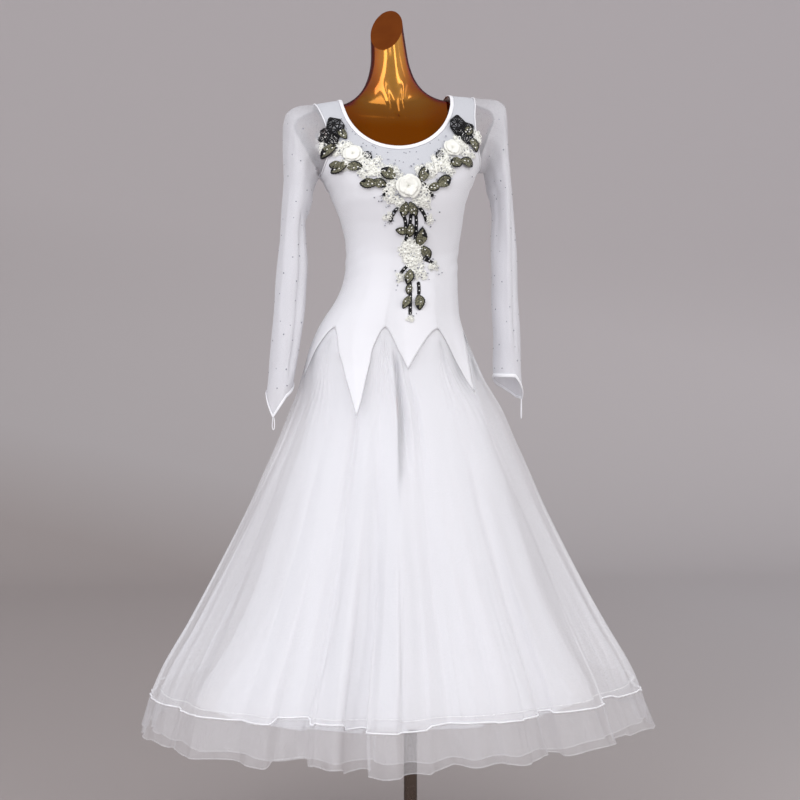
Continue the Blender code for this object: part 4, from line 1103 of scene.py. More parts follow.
hem_tips = [g.tip for g in GODETS] + [GODETS[0].tip + 360]
for i in range(len(GODETS)):
    top = np.array(edge[i * 2 * PETAL_STEPS : (i + 1) * 2 * PETAL_STEPS + 1])
    at = np.linspace(0, len(top) - 1, GODET_COLUMNS + 1)
    top = np.stack([np.interp(at, range(len(top)), column) for column in top.T], axis=-1)
    hem_angle = np.linspace(hem_tips[i], hem_tips[i + 1], GODET_COLUMNS + 1)
    low = list(zip(hem_angle, seam_height(hem_angle)))
    angle, z = between(low, top, GODET_ROWS, SPREAD)
    places = DRESS.point(angle, z, CLEAR + TULLE_LIFT + skirt_detail(angle, z))
    name = f"godet_{i + 1}"
    cloth(name, places, tulle, "tulle", [name])


# %% Hem braid
HEM_STEPS = 8 * GODET_COLUMNS
BRAID_ROWS = 16
EDGE_RIPPLE = 0.0028
EDGE_WAVE = 0.0030
hem_round = np.linspace(0, 360, HEM_STEPS + 1)


def braid_band(name, seam, out, folds):
    """A band of braid hanging from its seam, with a little more ripple at its free edge."""
    share = np.linspace(0, 1, BRAID_ROWS + 1)
    z = seam[:, None] - BRAID_DROP * (1 - share)
    angle = np.repeat(hem_round[:, None], BRAID_ROWS + 1, axis=1)
    turn = np.radians(angle)
    free = (1 - share) ** 1.5
    ripple = EDGE_RIPPLE * free * (np.sin(57 * turn + 2 * np.sin(3 * turn)) + 0.5 * np.sin(94 * turn))
    places = DRESS.point(angle, z, out + skirt_detail(angle, z) + ripple, folds)
    places[..., 2] += EDGE_WAVE * free * np.sin(29 * turn + 3 * np.sin(4 * turn))
    places[-1] = places[0]
    cloth(name, places, horsehair, "braid", [name], closed=True)


hem_seam = seam_height(hem_round)
braid_band("hem_braid", hem_seam, CLEAR + TULLE_LIFT, 1.0)

# %% Underskirt and its braid
UNDER_TOP = 1.0
UNDER_BEND = 0.935  # from here down it hangs away from the skirt
UNDER_GAP = 0.013
UNDER_LIFT = 0.013
UNDER_TOP_GAP = 0.0014
UNDER_ROWS = 60

under_seam = hem_seam + tucked(hem_round, "drop") + UNDER_LIFT
under_low = list(zip(hem_round, under_seam))
under_high = [(angle, UNDER_TOP) for angle in hem_round]
under_angle, under_z = between(under_low, under_high, UNDER_ROWS, SPREAD)
under_out = CLEAR - UNDER_TOP_GAP - UNDER_GAP * smooth_step((UNDER_BEND - under_z) / 0.10)
under_out = under_out + skirt_detail(under_angle, under_z)
under_places = DRESS.point(under_angle, under_z, under_out, UNDER_FOLDS)
under_places[-1] = under_places[0]
cloth("underskirt", under_places, under_tulle, "tulle", ["underskirt"], closed=True)
under_edge = CLEAR - UNDER_TOP_GAP - UNDER_GAP
braid_band("underskirt_braid", under_seam, under_edge, UNDER_FOLDS)

# %% [markdown]
# The tulle is sheer, and the wall shows through it near the outline. Inside it hang two petticoats, the
# inner one narrower and denser, so the skirt turns from grey to white in soft steps.

# %% Petticoats
PETTICOAT_TOP = 0.998
PETTICOAT_HEM = 0.345
PETTICOAT_ROWS = 72
PETTICOAT_FOLDS = 0.6  # its folds are this share of the skirt's
INSETS = [  # how far in from the body's clearance it hangs at each height
    (0.330, 0.078),
    (0.450, 0.084),
    (0.550, 0.078),
    (0.620, 0.064),
    (0.690, 0.053),
    (0.740, 0.047),
    (0.810, 0.040),
    (0.860, 0.030),
    (0.900, 0.017),
    (0.930, 0.0080),
    (0.955, 0.0026),
    (1.000, 0.0008),
]
LAYER_GAP = 0.0014  # between the two petticoats at the waist
SLIT_ANGLE = -3.9
SLIT_WIDTH = 1.5
SLIT_DEPTH = 0.044


def slit(angle, z):
    """A deep narrow pleat beside the middle petal, which shows through the tulle as a grey line."""
    deep = SLIT_DEPTH * smooth_step((0.915 - z) / 0.07) * smooth_step((z - 0.70) / 0.12)
    return -deep * np.exp(-((((angle - SLIT_ANGLE + 180) % 360 - 180) / SLIT_WIDTH) ** 2))


def petticoat(name, more, look):
    """One petticoat; more is how much further in than the outer one it hangs at the hem."""
    low = [(angle, PETTICOAT_HEM + 0.006 * np.sin(np.radians(angle))) for angle in hem_round]
    high = [(angle, PETTICOAT_TOP) for angle in hem_round]
    angle, z = between(low, high, PETTICOAT_ROWS, SPREAD)
    inset = through(*zip(*INSETS), z)
    if more:
        inset = inset + (LAYER_GAP + more * smooth_step((0.88 - z) / 0.25))
    out = CLEAR - inset + gathers(angle, z) / 2 + slit(angle, z)
    places = DRESS.point(angle, z, out, PETTICOAT_FOLDS)
    places[-1] = places[0]
    cloth(name, places, look, "tulle", [], closed=True)


petticoat("petticoat_outer", 0.0, petticoat_net)
petticoat("petticoat_inner", 0.036, lining)

# %% [markdown]
# ## The gold form
#
# The form is a hollow shell of lacquered glass fibre. Here it is one smooth skin, wrapped from a grid round
# the body's ovals. Its neck is cut on a slant with the bisect tool, which also fills the cut, and the cut
# face gets a darker finish of its own, as the bare inside of the shell has. The lacquer's colour has painted
# light and shade in it: it is painted deep brown towards the sides of the chest and of the neck, and painted
# pale on the neck, where the long lights lie in it as streaks.

# %% Gold lacquer
PAINTED_GLOW_FROM = 1.375  # from here up the lacquer is painted paler, as painted light, and has more gloss
NECK_FROM = 1.42  # from here up the painted shade at the sides begins nearer the middle
MIDDLE_X = -0.035

gold = Finish("gold_lacquer", (0.36, 0.15, 0.026), 0.12, metallic=1.0, coat=0.28)
gold.shader.inputs["Specular Tint"].default_value = (0.25, 0.11, 0.03, 1.0)
gold_cloud = gold.cloudy(gold.place(), 0.09, 3.0)
# Painted light: the colour is painted paler from the chest up the neck; the same share gives the neck more
# coat.
gold_painted_glow_and_gloss = ((gold.along(gold.place(), 2) - PAINTED_GLOW_FROM) * 12.0 + gold_cloud * 0.3).limited()
gold_aside = (gold.along(gold.place(), 0) - MIDDLE_X).size()
gold_neck = ((gold.along(gold.place(), 2) - NECK_FROM) * 40.0).limited()
# Painted shade: the colour is painted deep brown towards the sides of the chest and, on the neck, towards its
# sides.
gold_chest_painted_shade = ((gold_aside - 0.045) * 9.0).limited() * (1 - gold_neck)
gold_painted_shade = gold_chest_painted_shade + ((gold_aside - 0.010) * 40.0).limited() * gold_neck
# The ramp runs from painted shade at 0 to painted light at 1.
gold_shade_to_glow_tones = [(0.0, (0.10, 0.027, 0.002)), (1.0, (0.34, 0.148, 0.020)), (0.5, (0.25, 0.060, 0.003))]
gold.feed("Base Color", gold.tones(0.5 + gold_painted_glow_and_gloss * 0.5 - gold_painted_shade * 0.6, gold_shade_to_glow_tones))
gold.feed("Roughness", 0.09 + gold_cloud * 0.07)
gold.feed("Coat Weight", 0.03 + gold_painted_glow_and_gloss * 0.33)
gold.relief(gold.cloudy(gold.place(), 0.012) + gold.cloudy(gold.place(), 0.0011) * 0.15, 0.00012)
gold_cut = Finish("gold_cut_face", (0.14, 0.045, 0.005), 0.5, metallic=1.0)
gold_cut_cloud = gold_cut.cloudy(gold_cut.place(), 0.03, 3.0)
gold_cut.feed("Base Color", gold_cut.blend(gold_cut_cloud, (0.17, 0.035, 0.002), (0.27, 0.066, 0.006)))
gold_cut.relief(gold_cut.cloudy(gold_cut.place(), 0.002), 0.00008)
print("lacquer turns paler from", PAINTED_GLOW_FROM, "m up")

# %% Collar bones
BONE_LENGTH = 0.115
BONE_HEIGHT = 0.0010
HOLLOW_Z = 1.398
HOLLOW_DEPTH = 0.0030
CORD_HEIGHT = 0.0028


def collar_bones(angle, z):
    """Two soft ridges that rise outwards from the hollow of the throat, and two cords up the neck."""
    across = np.abs(FORM.across(angle, z))
    front = smooth_step((np.cos(np.radians(angle)) - 0.1) / 0.4)
    ridge = HOLLOW_Z - 0.008 + 0.020 * (across / BONE_LENGTH) ** 1.3
    bone = np.exp(-(((z - ridge) / 0.0075) ** 2)) * smooth_step((BONE_LENGTH - across) / 0.05)
    bone = bone * smooth_step((across - 0.004) / 0.02)
    hollow = np.exp(-((across / 0.012) ** 2) - ((z - HOLLOW_Z) / 0.011) ** 2)
    cord = np.exp(-(((across - 0.010 - 0.16 * (z - HOLLOW_Z)) / 0.0055) ** 2))
    cord = cord * smooth_step((z - HOLLOW_Z + 0.018) / 0.014) * smooth_step((1.460 - z) / 0.05)
    return front * (BONE_HEIGHT * bone - HOLLOW_DEPTH * hollow + CORD_HEIGHT * cord)


# %% Form's skin
FORM_ROWS = 280
FORM_COLUMNS = 216
FORM_TOP = 1.62
RUBS = 320

form_reach = np.linspace(0, FORM.reach(FORM_TOP), FORM_ROWS + 1)
form_z, form_angle = np.meshgrid(FORM.height(form_reach), np.linspace(0, 360, FORM_COLUMNS + 1))
form_places = FORM.bare(form_angle, form_z, 0.0)
form_places[-1] = form_places[0]
# The shoulders meet the neck in a crease, so the skin is rubbed smooth there: each place moves part of the
# way to the middle of its neighbours, again and again, most near the middle line.
rubbed = 0.5 * smooth_step((form_z - 1.365) / 0.02) * smooth_step((1.50 - form_z) / 0.03)
rubbed *= np.exp(-((FORM.across(form_angle, form_z) / 0.10) ** 4))
for _ in range(RUBS):
    side = (np.roll(form_places[:-1], 1, axis=0) + np.roll(form_places[:-1], -1, axis=0)) / 2
    side = np.concatenate([side, side[:1]])
    above = np.concatenate([form_places[:, 1:], form_places[:, -1:]], axis=1)
    below = np.concatenate([form_places[:, :1], form_places[:, :-1]], axis=1)
    form_places += rubbed[..., None] * ((side + (above + below) / 2) / 2 - form_places)
form_places += FORM.normal(form_angle, form_z, 0.0) * collar_bones(form_angle, form_z)[..., None]
form_places[-1] = form_places[0]
form = hang("form_torso", form_places, gold, closed=True)

# %% Neck cut
NECK_CUT_AT = (-0.0415, 0.020, 1.558)
NECK_CUT_NORMAL = (-0.43, -0.74, 0.62)
NECK_LOW = 1.45

form.data.materials.append(gold_cut.material)
bpy.ops.object.mode_set(mode="EDIT")
bpy.ops.mesh.select_all(action="DESELECT")
bpy.ops.mesh.select_non_manifold()
bpy.ops.mesh.fill_holes(sides=0)
bpy.ops.mesh.select_all(action="SELECT")
bpy.ops.mesh.bisect(
    plane_co=NECK_CUT_AT, plane_no=NECK_CUT_NORMAL, use_fill=True, clear_outer=True, clear_inner=False
)
bpy.ops.object.mode_set(mode="OBJECT")
cut_normal = Vector(NECK_CUT_NORMAL).normalized()
for face in form.data.polygons:
    if face.normal.dot(cut_normal) > 0.995 and face.center.z > NECK_LOW and len(face.vertices) > 4:
        face.material_index = 1
form.data.set_sharp_from_angle(angle=np.radians(35))
belongs(form, "gold", "form_torso")
cut_faces = [face for face in form.data.polygons if face.material_index == 1]
print(len(cut_faces), "cut face of", round(sum(face.area for face in cut_faces) * 10000, 1), "square cm")

# %% [markdown]
# ## The stand
#
# The pole, its collar, the socket under the form and the round base are turned parts, so each is drawn up
# from a circle: extrude, then scale, row by row, as on a lathe.

# %% Dark steel
BRUSHING = 9000.0  # how close together the marks of the lathe are

steel = Finish("dark_steel", (0.16, 0.125, 0.105), 0.28, metallic=1.0)
steel_brushed = steel.along(steel.place(), 2) * BRUSHING
steel_cloud = steel.cloudy(steel.place(), 0.02, 3.0)
steel.feed("Roughness", 0.20 + steel_cloud * 0.14)
steel.relief(steel_brushed.wave() * 0.3 + steel_cloud, 0.00004)


# %% Turned parts
EDGE_SOFTNESS = 0.0008


def turned(name, profile):
    """A turned solid: profile is an outline of (radius, height), drawn up row by row."""
    bpy.ops.object.select_all(action="DESELECT")
    first = profile[0]
    bpy.ops.mesh.primitive_circle_add(vertices=96, radius=first[0], location=(0, 0, first[1]))
    piece = bpy.context.active_object
    piece.name = name
    bpy.ops.object.transform_apply(location=True)
    bpy.ops.object.mode_set(mode="EDIT")
    bpy.ops.mesh.select_all(action="SELECT")
    for (was, low), (radius, high) in zip(profile, profile[1:]):
        bpy.ops.mesh.extrude_edges_move(TRANSFORM_OT_translate={"value": (0, 0, high - low)})
        bpy.ops.transform.resize(value=(radius / was, radius / was, 1.0), center_override=(0, 0, high))
    bpy.ops.mesh.select_all(action="SELECT")
    bpy.ops.mesh.remove_doubles(threshold=MERGE)
    bpy.ops.mesh.select_all(action="DESELECT")
    bpy.ops.mesh.select_non_manifold()
    bpy.ops.mesh.fill_holes(sides=0)
    bpy.ops.mesh.select_all(action="SELECT")
    bpy.ops.mesh.normals_make_consistent(inside=False)
    bpy.ops.object.mode_set(mode="OBJECT")
    softened = piece.modifiers.new("softened", "BEVEL")
    softened.width = EDGE_SOFTNESS
    softened.segments = 3
    softened.limit_method = "ANGLE"
    bpy.ops.object.modifier_apply(modifier="softened")
    piece.data.shade_smooth()
    piece.data.set_sharp_from_angle(angle=np.radians(40))
    piece.data.materials.append(steel.material)
    belongs(piece, "steel", name)
    print(name, len(piece.data.polygons), "faces,", round(piece.dimensions.z, 3), "m high")


# %% The stand
SEAT = 0.0003  # parts that sit on each other keep this gap
BASE_RADIUS = 0.19
BASE_TOP = 0.012
POLE_RADIUS = 0.0125
POLE_TOP = 0.744
BORE = POLE_RADIUS + SEAT
COLLAR_RADIUS = 0.030
COLLAR_FOOT = 0.0123
COLLAR_TOP = 0.0423
FLANGE_RADIUS = 0.028
FORM_UNDER = FORM_HIPS[0].z - SEAT
SOCKET_FOOT = FORM_UNDER - 0.045
FLANGE_FOOT = FORM_UNDER - 0.006

turned("base", [(BASE_RADIUS, 0.0), (BASE_RADIUS, 0.008), (0.186, 0.0115), (0.16, BASE_TOP)])
turned("pole", [(POLE_RADIUS, BASE_TOP + SEAT), (POLE_RADIUS, POLE_TOP)])
turned(
    "pole_collar",
    [
        (BORE, COLLAR_FOOT),
        (COLLAR_RADIUS, COLLAR_FOOT),
        (COLLAR_RADIUS, 0.0243),
        (0.0175, 0.0403),
        (BORE, COLLAR_TOP),
        (BORE, COLLAR_FOOT),
    ],
)
turned(
    "socket",
    [
        (BORE, SOCKET_FOOT),
        (BORE + 0.005, SOCKET_FOOT),
        (BORE + 0.005, FLANGE_FOOT),
        (FLANGE_RADIUS, FLANGE_FOOT),
        (FLANGE_RADIUS, FORM_UNDER),
        (BORE, FORM_UNDER),
        (BORE, SOCKET_FOOT),
    ],
)

# %% [markdown]
# ## The sleeves
#
# A sleeve is a tube of mesh from the armhole down to a slanted cuff that ends in a point with an elastic
# loop for the finger. It is set by rings, each through an outer and an inner place. The arm inside it is
# only air, so the tube flattens and creases along its length, and its head wrinkles where it is set in.

# %% Rings
Ring = namedtuple("Ring", "outer_x outer_z inner_x inner_z middle_y half_depth")

SLEEVE_LEFT = [
    Ring(-0.2110, 1.4040, -0.1750, 1.2640, 0.010, 0.058),
    Ring(-0.2325, 1.3880, -0.1800, 1.2500, 0.010, 0.060),
    Ring(-0.2375, 1.3600, -0.1835, 1.2390, 0.009, 0.061),
    Ring(-0.2380, 1.3200, -0.1850, 1.2280, 0.008, 0.060),
    Ring(-0.2370, 1.2750, -0.1900, 1.2100, 0.006, 0.058),
    Ring(-0.2400, 1.2250, -0.1975, 1.1850, 0.004, 0.055),
    Ring(-0.2440, 1.1750, -0.1975, 1.1500, 0.001, 0.051),
    Ring(-0.2495, 1.1200, -0.1950, 1.1100, -0.002, 0.048),
    Ring(-0.2550, 1.0500, -0.1985, 1.0500, -0.006, 0.044),
    Ring(-0.2605, 0.9750, -0.2065, 0.9750, -0.010, 0.041),
]
SLEEVE_RIGHT = [
    Ring(0.1620, 1.4275, 0.1440, 1.2900, 0.010, 0.058),
    Ring(0.1805, 1.4150, 0.1480, 1.2750, 0.010, 0.060),
    Ring(0.1835, 1.3850, 0.1510, 1.2640, 0.009, 0.061),
    Ring(0.1850, 1.3450, 0.1530, 1.2520, 0.008, 0.060),
    Ring(0.1870, 1.2950, 0.1590, 1.2320, 0.006, 0.058),
    Ring(0.1925, 1.2400, 0.1600, 1.2060, 0.004, 0.055),
    Ring(0.1975, 1.1850, 0.1575, 1.1650, 0.001, 0.051),
    Ring(0.2005, 1.1250, 0.1560, 1.1200, -0.002, 0.048),
    Ring(0.2025, 1.0500, 0.1560, 1.0500, -0.006, 0.044),
    Ring(0.2055, 0.9850, 0.1575, 0.9850, -0.010, 0.041),
]
CUFF_LEFT = Ring(-0.2705, 0.0, -0.2225, 0.0, -0.014, 0.039)
CUFF_RIGHT = Ring(0.2095, 0.0, 0.1570, 0.0, -0.014, 0.039)
CUFF_LEFT_POINT = 1 / 7  # the share of the way round where the cuff comes to a point
CUFF_LEFT_Z = [
    (0.0, 0.868),
    (CUFF_LEFT_POINT, 0.828),
    (0.30, 0.866),
    (0.5, 0.889),
    (0.75, 0.885),
    (1.0, 0.868),
]
CUFF_RIGHT_Z = [(0.0, 0.862), (0.22, 0.903), (0.5, 0.905), (0.75, 0.884), (0.90, 0.866), (1.0, 0.862)]
CUFF_BINDING = 0.005  # the mesh ends this far above the cuff's edge
ARMHOLE_LIFT = 0.0004
SLEEVE_COLUMNS = 2 * ARMHOLE_STEPS
SLEEVE_ROWS = 150


def ring_points(ring):
    """Places round one sleeve ring, from the outer side over the front to the inner side and the back."""
    outer = np.array([ring.outer_x, ring.middle_y, ring.outer_z])
    inner = np.array([ring.inner_x, ring.middle_y, ring.inner_z])
    turn = np.linspace(0, 2 * np.pi, SLEEVE_COLUMNS + 1)
    places = (outer + inner) / 2 + np.cos(turn)[:, None] * (outer - inner) / 2
    places[:, 1] -= ring.half_depth * np.sin(turn)
    return places


def armhole_ring(side):
    """The sleeve's first ring, which lies on the armhole's edge."""
    front = armhole_edge(side)
    back = armhole_edge(side, at_back=True)
    places = np.array(front + back[-2::-1])
    return DRESS.point(places[:, 0], places[:, 1], CLEAR + CLOTH + ARMHOLE_LIFT)


def cuff_line(cuff, heights, lift):
    """The cuff's edge as places, raised by lift."""
    share = np.linspace(0, 1, SLEEVE_COLUMNS + 1)
    places = ring_points(cuff)
    places[:, 2] = np.interp(share, *zip(*heights)) + lift
    return places


# %% A sleeve's surface
SOFT_DENTS = 0.0011
HEAD_WRINKLES = 0.0007


class Sleeve:
    """A sleeve's surface: around is a share of the way round it, down a share of the way to the cuff."""

    def __init__(self, side, rings, cuff, heights, creases, seed):
        self.side = side
        rows = [armhole_ring(side)] + [ring_points(ring) for ring in rings]
        edge = cuff_line(cuff, heights, CUFF_BINDING)
        rows.append((rows[-1] + edge) / 2)
        rows.append(edge)
        rows = np.array(rows)
        length = np.linalg.norm(np.diff(rows.mean(axis=1), axis=0), axis=1)
        known = np.concatenate([[0.0], np.cumsum(length)])
        at = np.linspace(0, known[-1], SLEEVE_ROWS + 1)
        grid = np.zeros((SLEEVE_COLUMNS + 1, SLEEVE_ROWS + 1, 3))
        for c in range(SLEEVE_COLUMNS + 1):
            for axis in range(3):
                grid[c, :, axis] = through(known, rows[:, c, axis], at)
        self.grid = grid
        normal = np.cross(np.gradient(grid, axis=0), np.gradient(grid, axis=1)) * side
        normal /= np.maximum(np.linalg.norm(normal, axis=-1, keepdims=True), NEVER_ZERO)
        around, down = np.meshgrid(
            np.linspace(0, 1, SLEEVE_COLUMNS + 1), np.linspace(0, 1, SLEEVE_ROWS + 1), indexing="ij"
        )
        depth = np.zeros(around.shape)
        for crease in creases:
            away = (around - crease.around + 0.5) % 1.0 - 0.5
            grow = smooth_step((down - crease.start) / 0.12) * smooth_step((crease.end - down) / 0.12)
            depth += crease.out * grow * np.exp(-((away / crease.width) ** 2))
        turn = 2 * np.pi * around
        soft = np.sin(3 * turn + 17 * down + seed) * np.sin(9 * down * (1 + 0.2 * np.sin(turn)) + seed)
        still = smooth_step(down / 0.06) * smooth_step((1 - down) / 0.04)
        depth += SOFT_DENTS * still * soft
        head = smooth_step(down / 0.03) * smooth_step((0.30 - down) / 0.22) * np.abs(np.sin(turn)) ** 1.5
        depth += HEAD_WRINKLES * head * np.sin(11 * turn + 8 * down)
        self.normal = normal
        self.places = grid + normal * depth[..., None]
        self.places[-1] = self.places[0]

    def spot(self, around, down):
        """A place and its outward direction, at a share round the sleeve and a share down it."""
        c = int(round(around * SLEEVE_COLUMNS)) % SLEEVE_COLUMNS
        r = int(round(down * SLEEVE_ROWS))
        return self.places[c, r], self.normal[c, r]


# %% Sleeves
Crease = namedtuple("Crease", "around width out start end")

LEFT_CREASES = [
    Crease(0.315, 0.022, -0.0042, 0.28, 0.98),
    Crease(0.375, 0.030, 0.0022, 0.28, 0.98),
    Crease(0.13, 0.030, 0.0015, 0.20, 0.85),
    Crease(0.70, 0.035, -0.0030, 0.25, 0.95),
]
RIGHT_CREASES = [
    Crease(0.20, 0.025, -0.0028, 0.30, 0.95),
    Crease(0.27, 0.030, 0.0018, 0.30, 0.95),
    Crease(0.42, 0.030, -0.0022, 0.05, 0.55),
    Crease(0.72, 0.035, -0.0030, 0.25, 0.95),
]
left_sleeve = Sleeve(-1, SLEEVE_LEFT, CUFF_LEFT, CUFF_LEFT_Z, LEFT_CREASES, 0.7)
right_sleeve = Sleeve(1, SLEEVE_RIGHT, CUFF_RIGHT, CUFF_RIGHT_Z, RIGHT_CREASES, 2.9)
for name, sleeve in (("sleeve_left", left_sleeve), ("sleeve_right", right_sleeve)):
    places = sleeve.places[:, ::-1] if sleeve.side < 0 else sleeve.places[::-1, ::-1]
    cloth(name, places, power_mesh, "mesh_cloth", [name], closed=True)

# %% [markdown]
# ## Cuffs and finger loops
#
# A narrow satin binding finishes each cuff, and an elastic loop hangs from its point, to hold the sleeve
# down over the hand. The binding is a band of its own, a little proud of the mesh; the loop is a thin cord
# drawn as a curve with a round section and made a mesh.


# %% Cuff bindings
CUFF_OVERLAP = 0.001
CUFF_LIFT = 0.0006
CUFF_CROWN = 0.0007
CUFF_ROWS = 6
CUFF_THICK = 0.0011


def cuff_band(name, side, cuff, heights):
    """A satin band from the cuff's edge up to a little over the mesh, rounded across its width."""
    edge = cuff_line(cuff, heights, 0.0)
    seam = cuff_line(cuff, heights, CUFF_BINDING + CUFF_OVERLAP)
    middle = np.array([(cuff.outer_x + cuff.inner_x) / 2, cuff.middle_y, 0.0])
    rows = []
    for share in np.linspace(0, 1, CUFF_ROWS + 1):
        row = edge + (seam - edge) * share
        away = (row - middle) * (1, 1, 0)
        away /= np.linalg.norm(away, axis=1, keepdims=True)
        rows.append(row + away * (CUFF_LIFT + CUFF_CROWN * np.sin(np.pi * share)))
    places = np.stack(rows, axis=1)
    band = hang(name, places[::-1] if side < 0 else places, satin, closed=True, thick=CUFF_THICK)
    belongs(band, "stretch_cloth", name)


cuff_band("cuff_binding_left", -1, CUFF_LEFT, CUFF_LEFT_Z)
cuff_band("cuff_binding_right", 1, CUFF_RIGHT, CUFF_RIGHT_Z)


# %% Cords
def round_cord(name, points, radius, look, closed=False, sides=3):
    """A cord through these points, as a mesh."""
    curve = bpy.data.curves.new(name, "CURVE")
    curve.dimensions = "3D"
    curve.bevel_depth = radius
    curve.bevel_resolution = sides
    curve.use_fill_caps = not closed
    line = curve.splines.new("POLY")
    line.points.add(len(points) - 1)
    for spot, place in zip(line.points, points):
        spot.co = (*place, 1.0)
    line.use_cyclic_u = closed
    made = bpy.data.objects.new(name, curve)
    bpy.context.scene.collection.objects.link(made)
    bpy.ops.object.select_all(action="DESELECT")
    made.select_set(True)
    bpy.context.view_layer.objects.active = made
    bpy.ops.object.convert(target="MESH")
    made.data.materials.clear()
    made.data.materials.append(look.material)
    made.data.shade_smooth()
    print(name, len(made.data.polygons), "faces")
    return made


# %% Finger loops
LOOP_CORD = 0.0009
LOOP_TUCK = 0.001  # its ends lie this far above the cuff's edge
LOOP_HALF_WIDTH = 0.005
LOOP_FOOT = 0.30  # the loop's width at its foot, as a share of its widest
LOOP_STEPS = 40


def finger_loop(name, cuff, heights, share, length):
    """A loop this long that hangs from the cuff's edge, a share of the way round it."""
    turn = 2 * np.pi * share
    half_x = (cuff.outer_x - cuff.inner_x) / 2
    foot_x = cuff.inner_x + half_x * (1 + np.cos(turn))
    foot_z = np.interp(share, *zip(*heights)) + LOOP_TUCK
    foot = np.array([foot_x, cuff.middle_y - cuff.half_depth * np.sin(turn), foot_z])
    along = np.array([half_x * np.sin(turn), cuff.half_depth * np.cos(turn), 0])
    along /= np.linalg.norm(along)
    points = []
    for swing in np.linspace(0, np.pi, LOOP_STEPS + 1):
        across = LOOP_HALF_WIDTH * np.cos(swing) * (LOOP_FOOT + (1 - LOOP_FOOT) * np.sin(swing))
        points.append(foot + along * across - np.array([0, 0, length * np.sin(swing)]))
    belongs(round_cord(name, points, LOOP_CORD, satin), "stretch_cloth", name)


finger_loop("finger_loop_left", CUFF_LEFT, CUFF_LEFT_Z, CUFF_LEFT_POINT, 0.022)
finger_loop("finger_loop_right", CUFF_RIGHT, CUFF_RIGHT_Z, 0.0, 0.036)

# %% [markdown]
# ## Seams that show
#
# The armholes' seams and the braid's seam stand up as narrow corded lines, whiter than the sheer cloth
# beside them. Each is a thin cord laid along the edge that both its panels share.

# %% Corded seams
ARMHOLE_CORD = 0.0013
HEM_CORD = 0.0015
UNDER_CORD = 0.0008

for side, name in ((-1, "left"), (1, "right")):
    front = armhole_edge(side)
    back = armhole_edge(side, at_back=True)
    line = np.array(front + back[-2:0:-1])
    places = DRESS.point(line[:, 0], line[:, 1], CLEAR + CLOTH + 0.0008)
    cord = round_cord(f"armhole_seam_{name}", places, ARMHOLE_CORD, satin, closed=True)
    belongs(cord, "stretch_cloth")

hem_line = hem_round[:-1]
for name, seam, out, folds, radius in (
    ("hem_seam", hem_seam, CLEAR + 2 * TULLE_LIFT, 1.0, HEM_CORD),
    ("underskirt_seam", under_seam, under_edge + 0.001, UNDER_FOLDS, UNDER_CORD),
):
    line = DRESS.point(hem_line, seam[:-1], out + skirt_detail(hem_line, seam[:-1]), folds)
    belongs(round_cord(name, line, radius, satin, closed=True, sides=1), "braid")

# %% [markdown]
# ## Flowers on the chest
#
# The applique is a spray of guipure lace roses, olive leaves, black latticed leaves and black sequinned
# stems, all with beads. Every kind of motif is modelled once, flat, and then laid on the chest many times:
# each of its points goes to the cloth below it, so the motif bends over the bust as the real one does.

# %% Finishes for the flowers
ivory = Finish("rose_satin", (0.80, 0.80, 0.75), 0.45, sheen=0.2)
ivory_cloud = ivory.cloudy(ivory.place(), 0.006)
ivory.feed("Base Color", ivory.blend(ivory_cloud, (0.76, 0.76, 0.70), (0.86, 0.86, 0.81)))
ivory.relief(ivory.cloudy(ivory.place(), 0.0008), 0.0002)

lace = Finish("lace_cord", (0.92, 0.92, 0.90), 0.55, sheen=0.3)
lace_cloud = lace.cloudy(lace.place(), 0.0012)
lace.feed("Base Color", lace.blend(lace_cloud, (0.78, 0.78, 0.72), (0.93, 0.93, 0.88)))
lace.relief(lace_cloud, 0.0003)

olive = Finish("olive_leaf", (0.16, 0.16, 0.09), 0.45)
olive_cloud = (olive.cloudy(olive.place(), 0.0022, 4.0) * 4.0 - 1.6).limited()
olive_scale = {"Vector": olive.place(), "Scale": 700.0}
olive_sequins = olive.node("ShaderNodeTexVoronoi", {"feature": "F1"}, olive_scale, "Distance")
olive.feed("Base Color", olive.blend(olive_cloud, (0.022, 0.022, 0.010), (0.24, 0.23, 0.14)))
olive.feed("Roughness", 0.25 + olive_sequins * 0.5)
olive.relief(olive_sequins, 0.0006)

black = Finish("black_sequin", (0.004, 0.004, 0.005), 0.35)
black.shader.inputs["Specular IOR Level"].default_value = 0.22
black_cloud = black.cloudy(black.place(), 0.002)
black.feed("Roughness", 0.28 + black_cloud * 0.4)
black.relief(black_cloud, 0.0003)

pearl = Finish("pearl_bead", (0.88, 0.87, 0.84), 0.22, coat=0.5)
pearl_cloud = pearl.cloudy(pearl.place(), 0.003)
pearl.feed("Base Color", pearl.blend(pearl_cloud, (0.80, 0.80, 0.79), (0.93, 0.92, 0.88)))

crystal = Finish("rhinestone", (0.45, 0.46, 0.50), 0.06, metallic=0.9, coat=0.3)
crystal_cloud = crystal.cloudy(crystal.place(), 0.003)
crystal.feed("Base Color", crystal.blend(crystal_cloud, (0.10, 0.105, 0.13), (0.62, 0.64, 0.70)))

silver = Finish("silver_bugle", (0.42, 0.42, 0.44), 0.3, metallic=0.8)
silver_cloud = silver.cloudy(silver.place(), 0.002)
silver.feed("Roughness", 0.2 + silver_cloud * 0.3)
flower_looks = (ivory, lace, olive, black, pearl, crystal, silver)
print("flower finishes:", ", ".join(finish.material.name for finish in flower_looks))


# %% Laying a motif
CHEST_LIFT = CLEAR + CLOTH


def chest(across, z, out):
    """A place on the front of the dress, this far out from the cloth."""
    across = np.asarray(across, float)
    z = np.asarray(z, float)
    return DRESS.point(DRESS.angle(across, z), z, CHEST_LIFT + np.asarray(out))


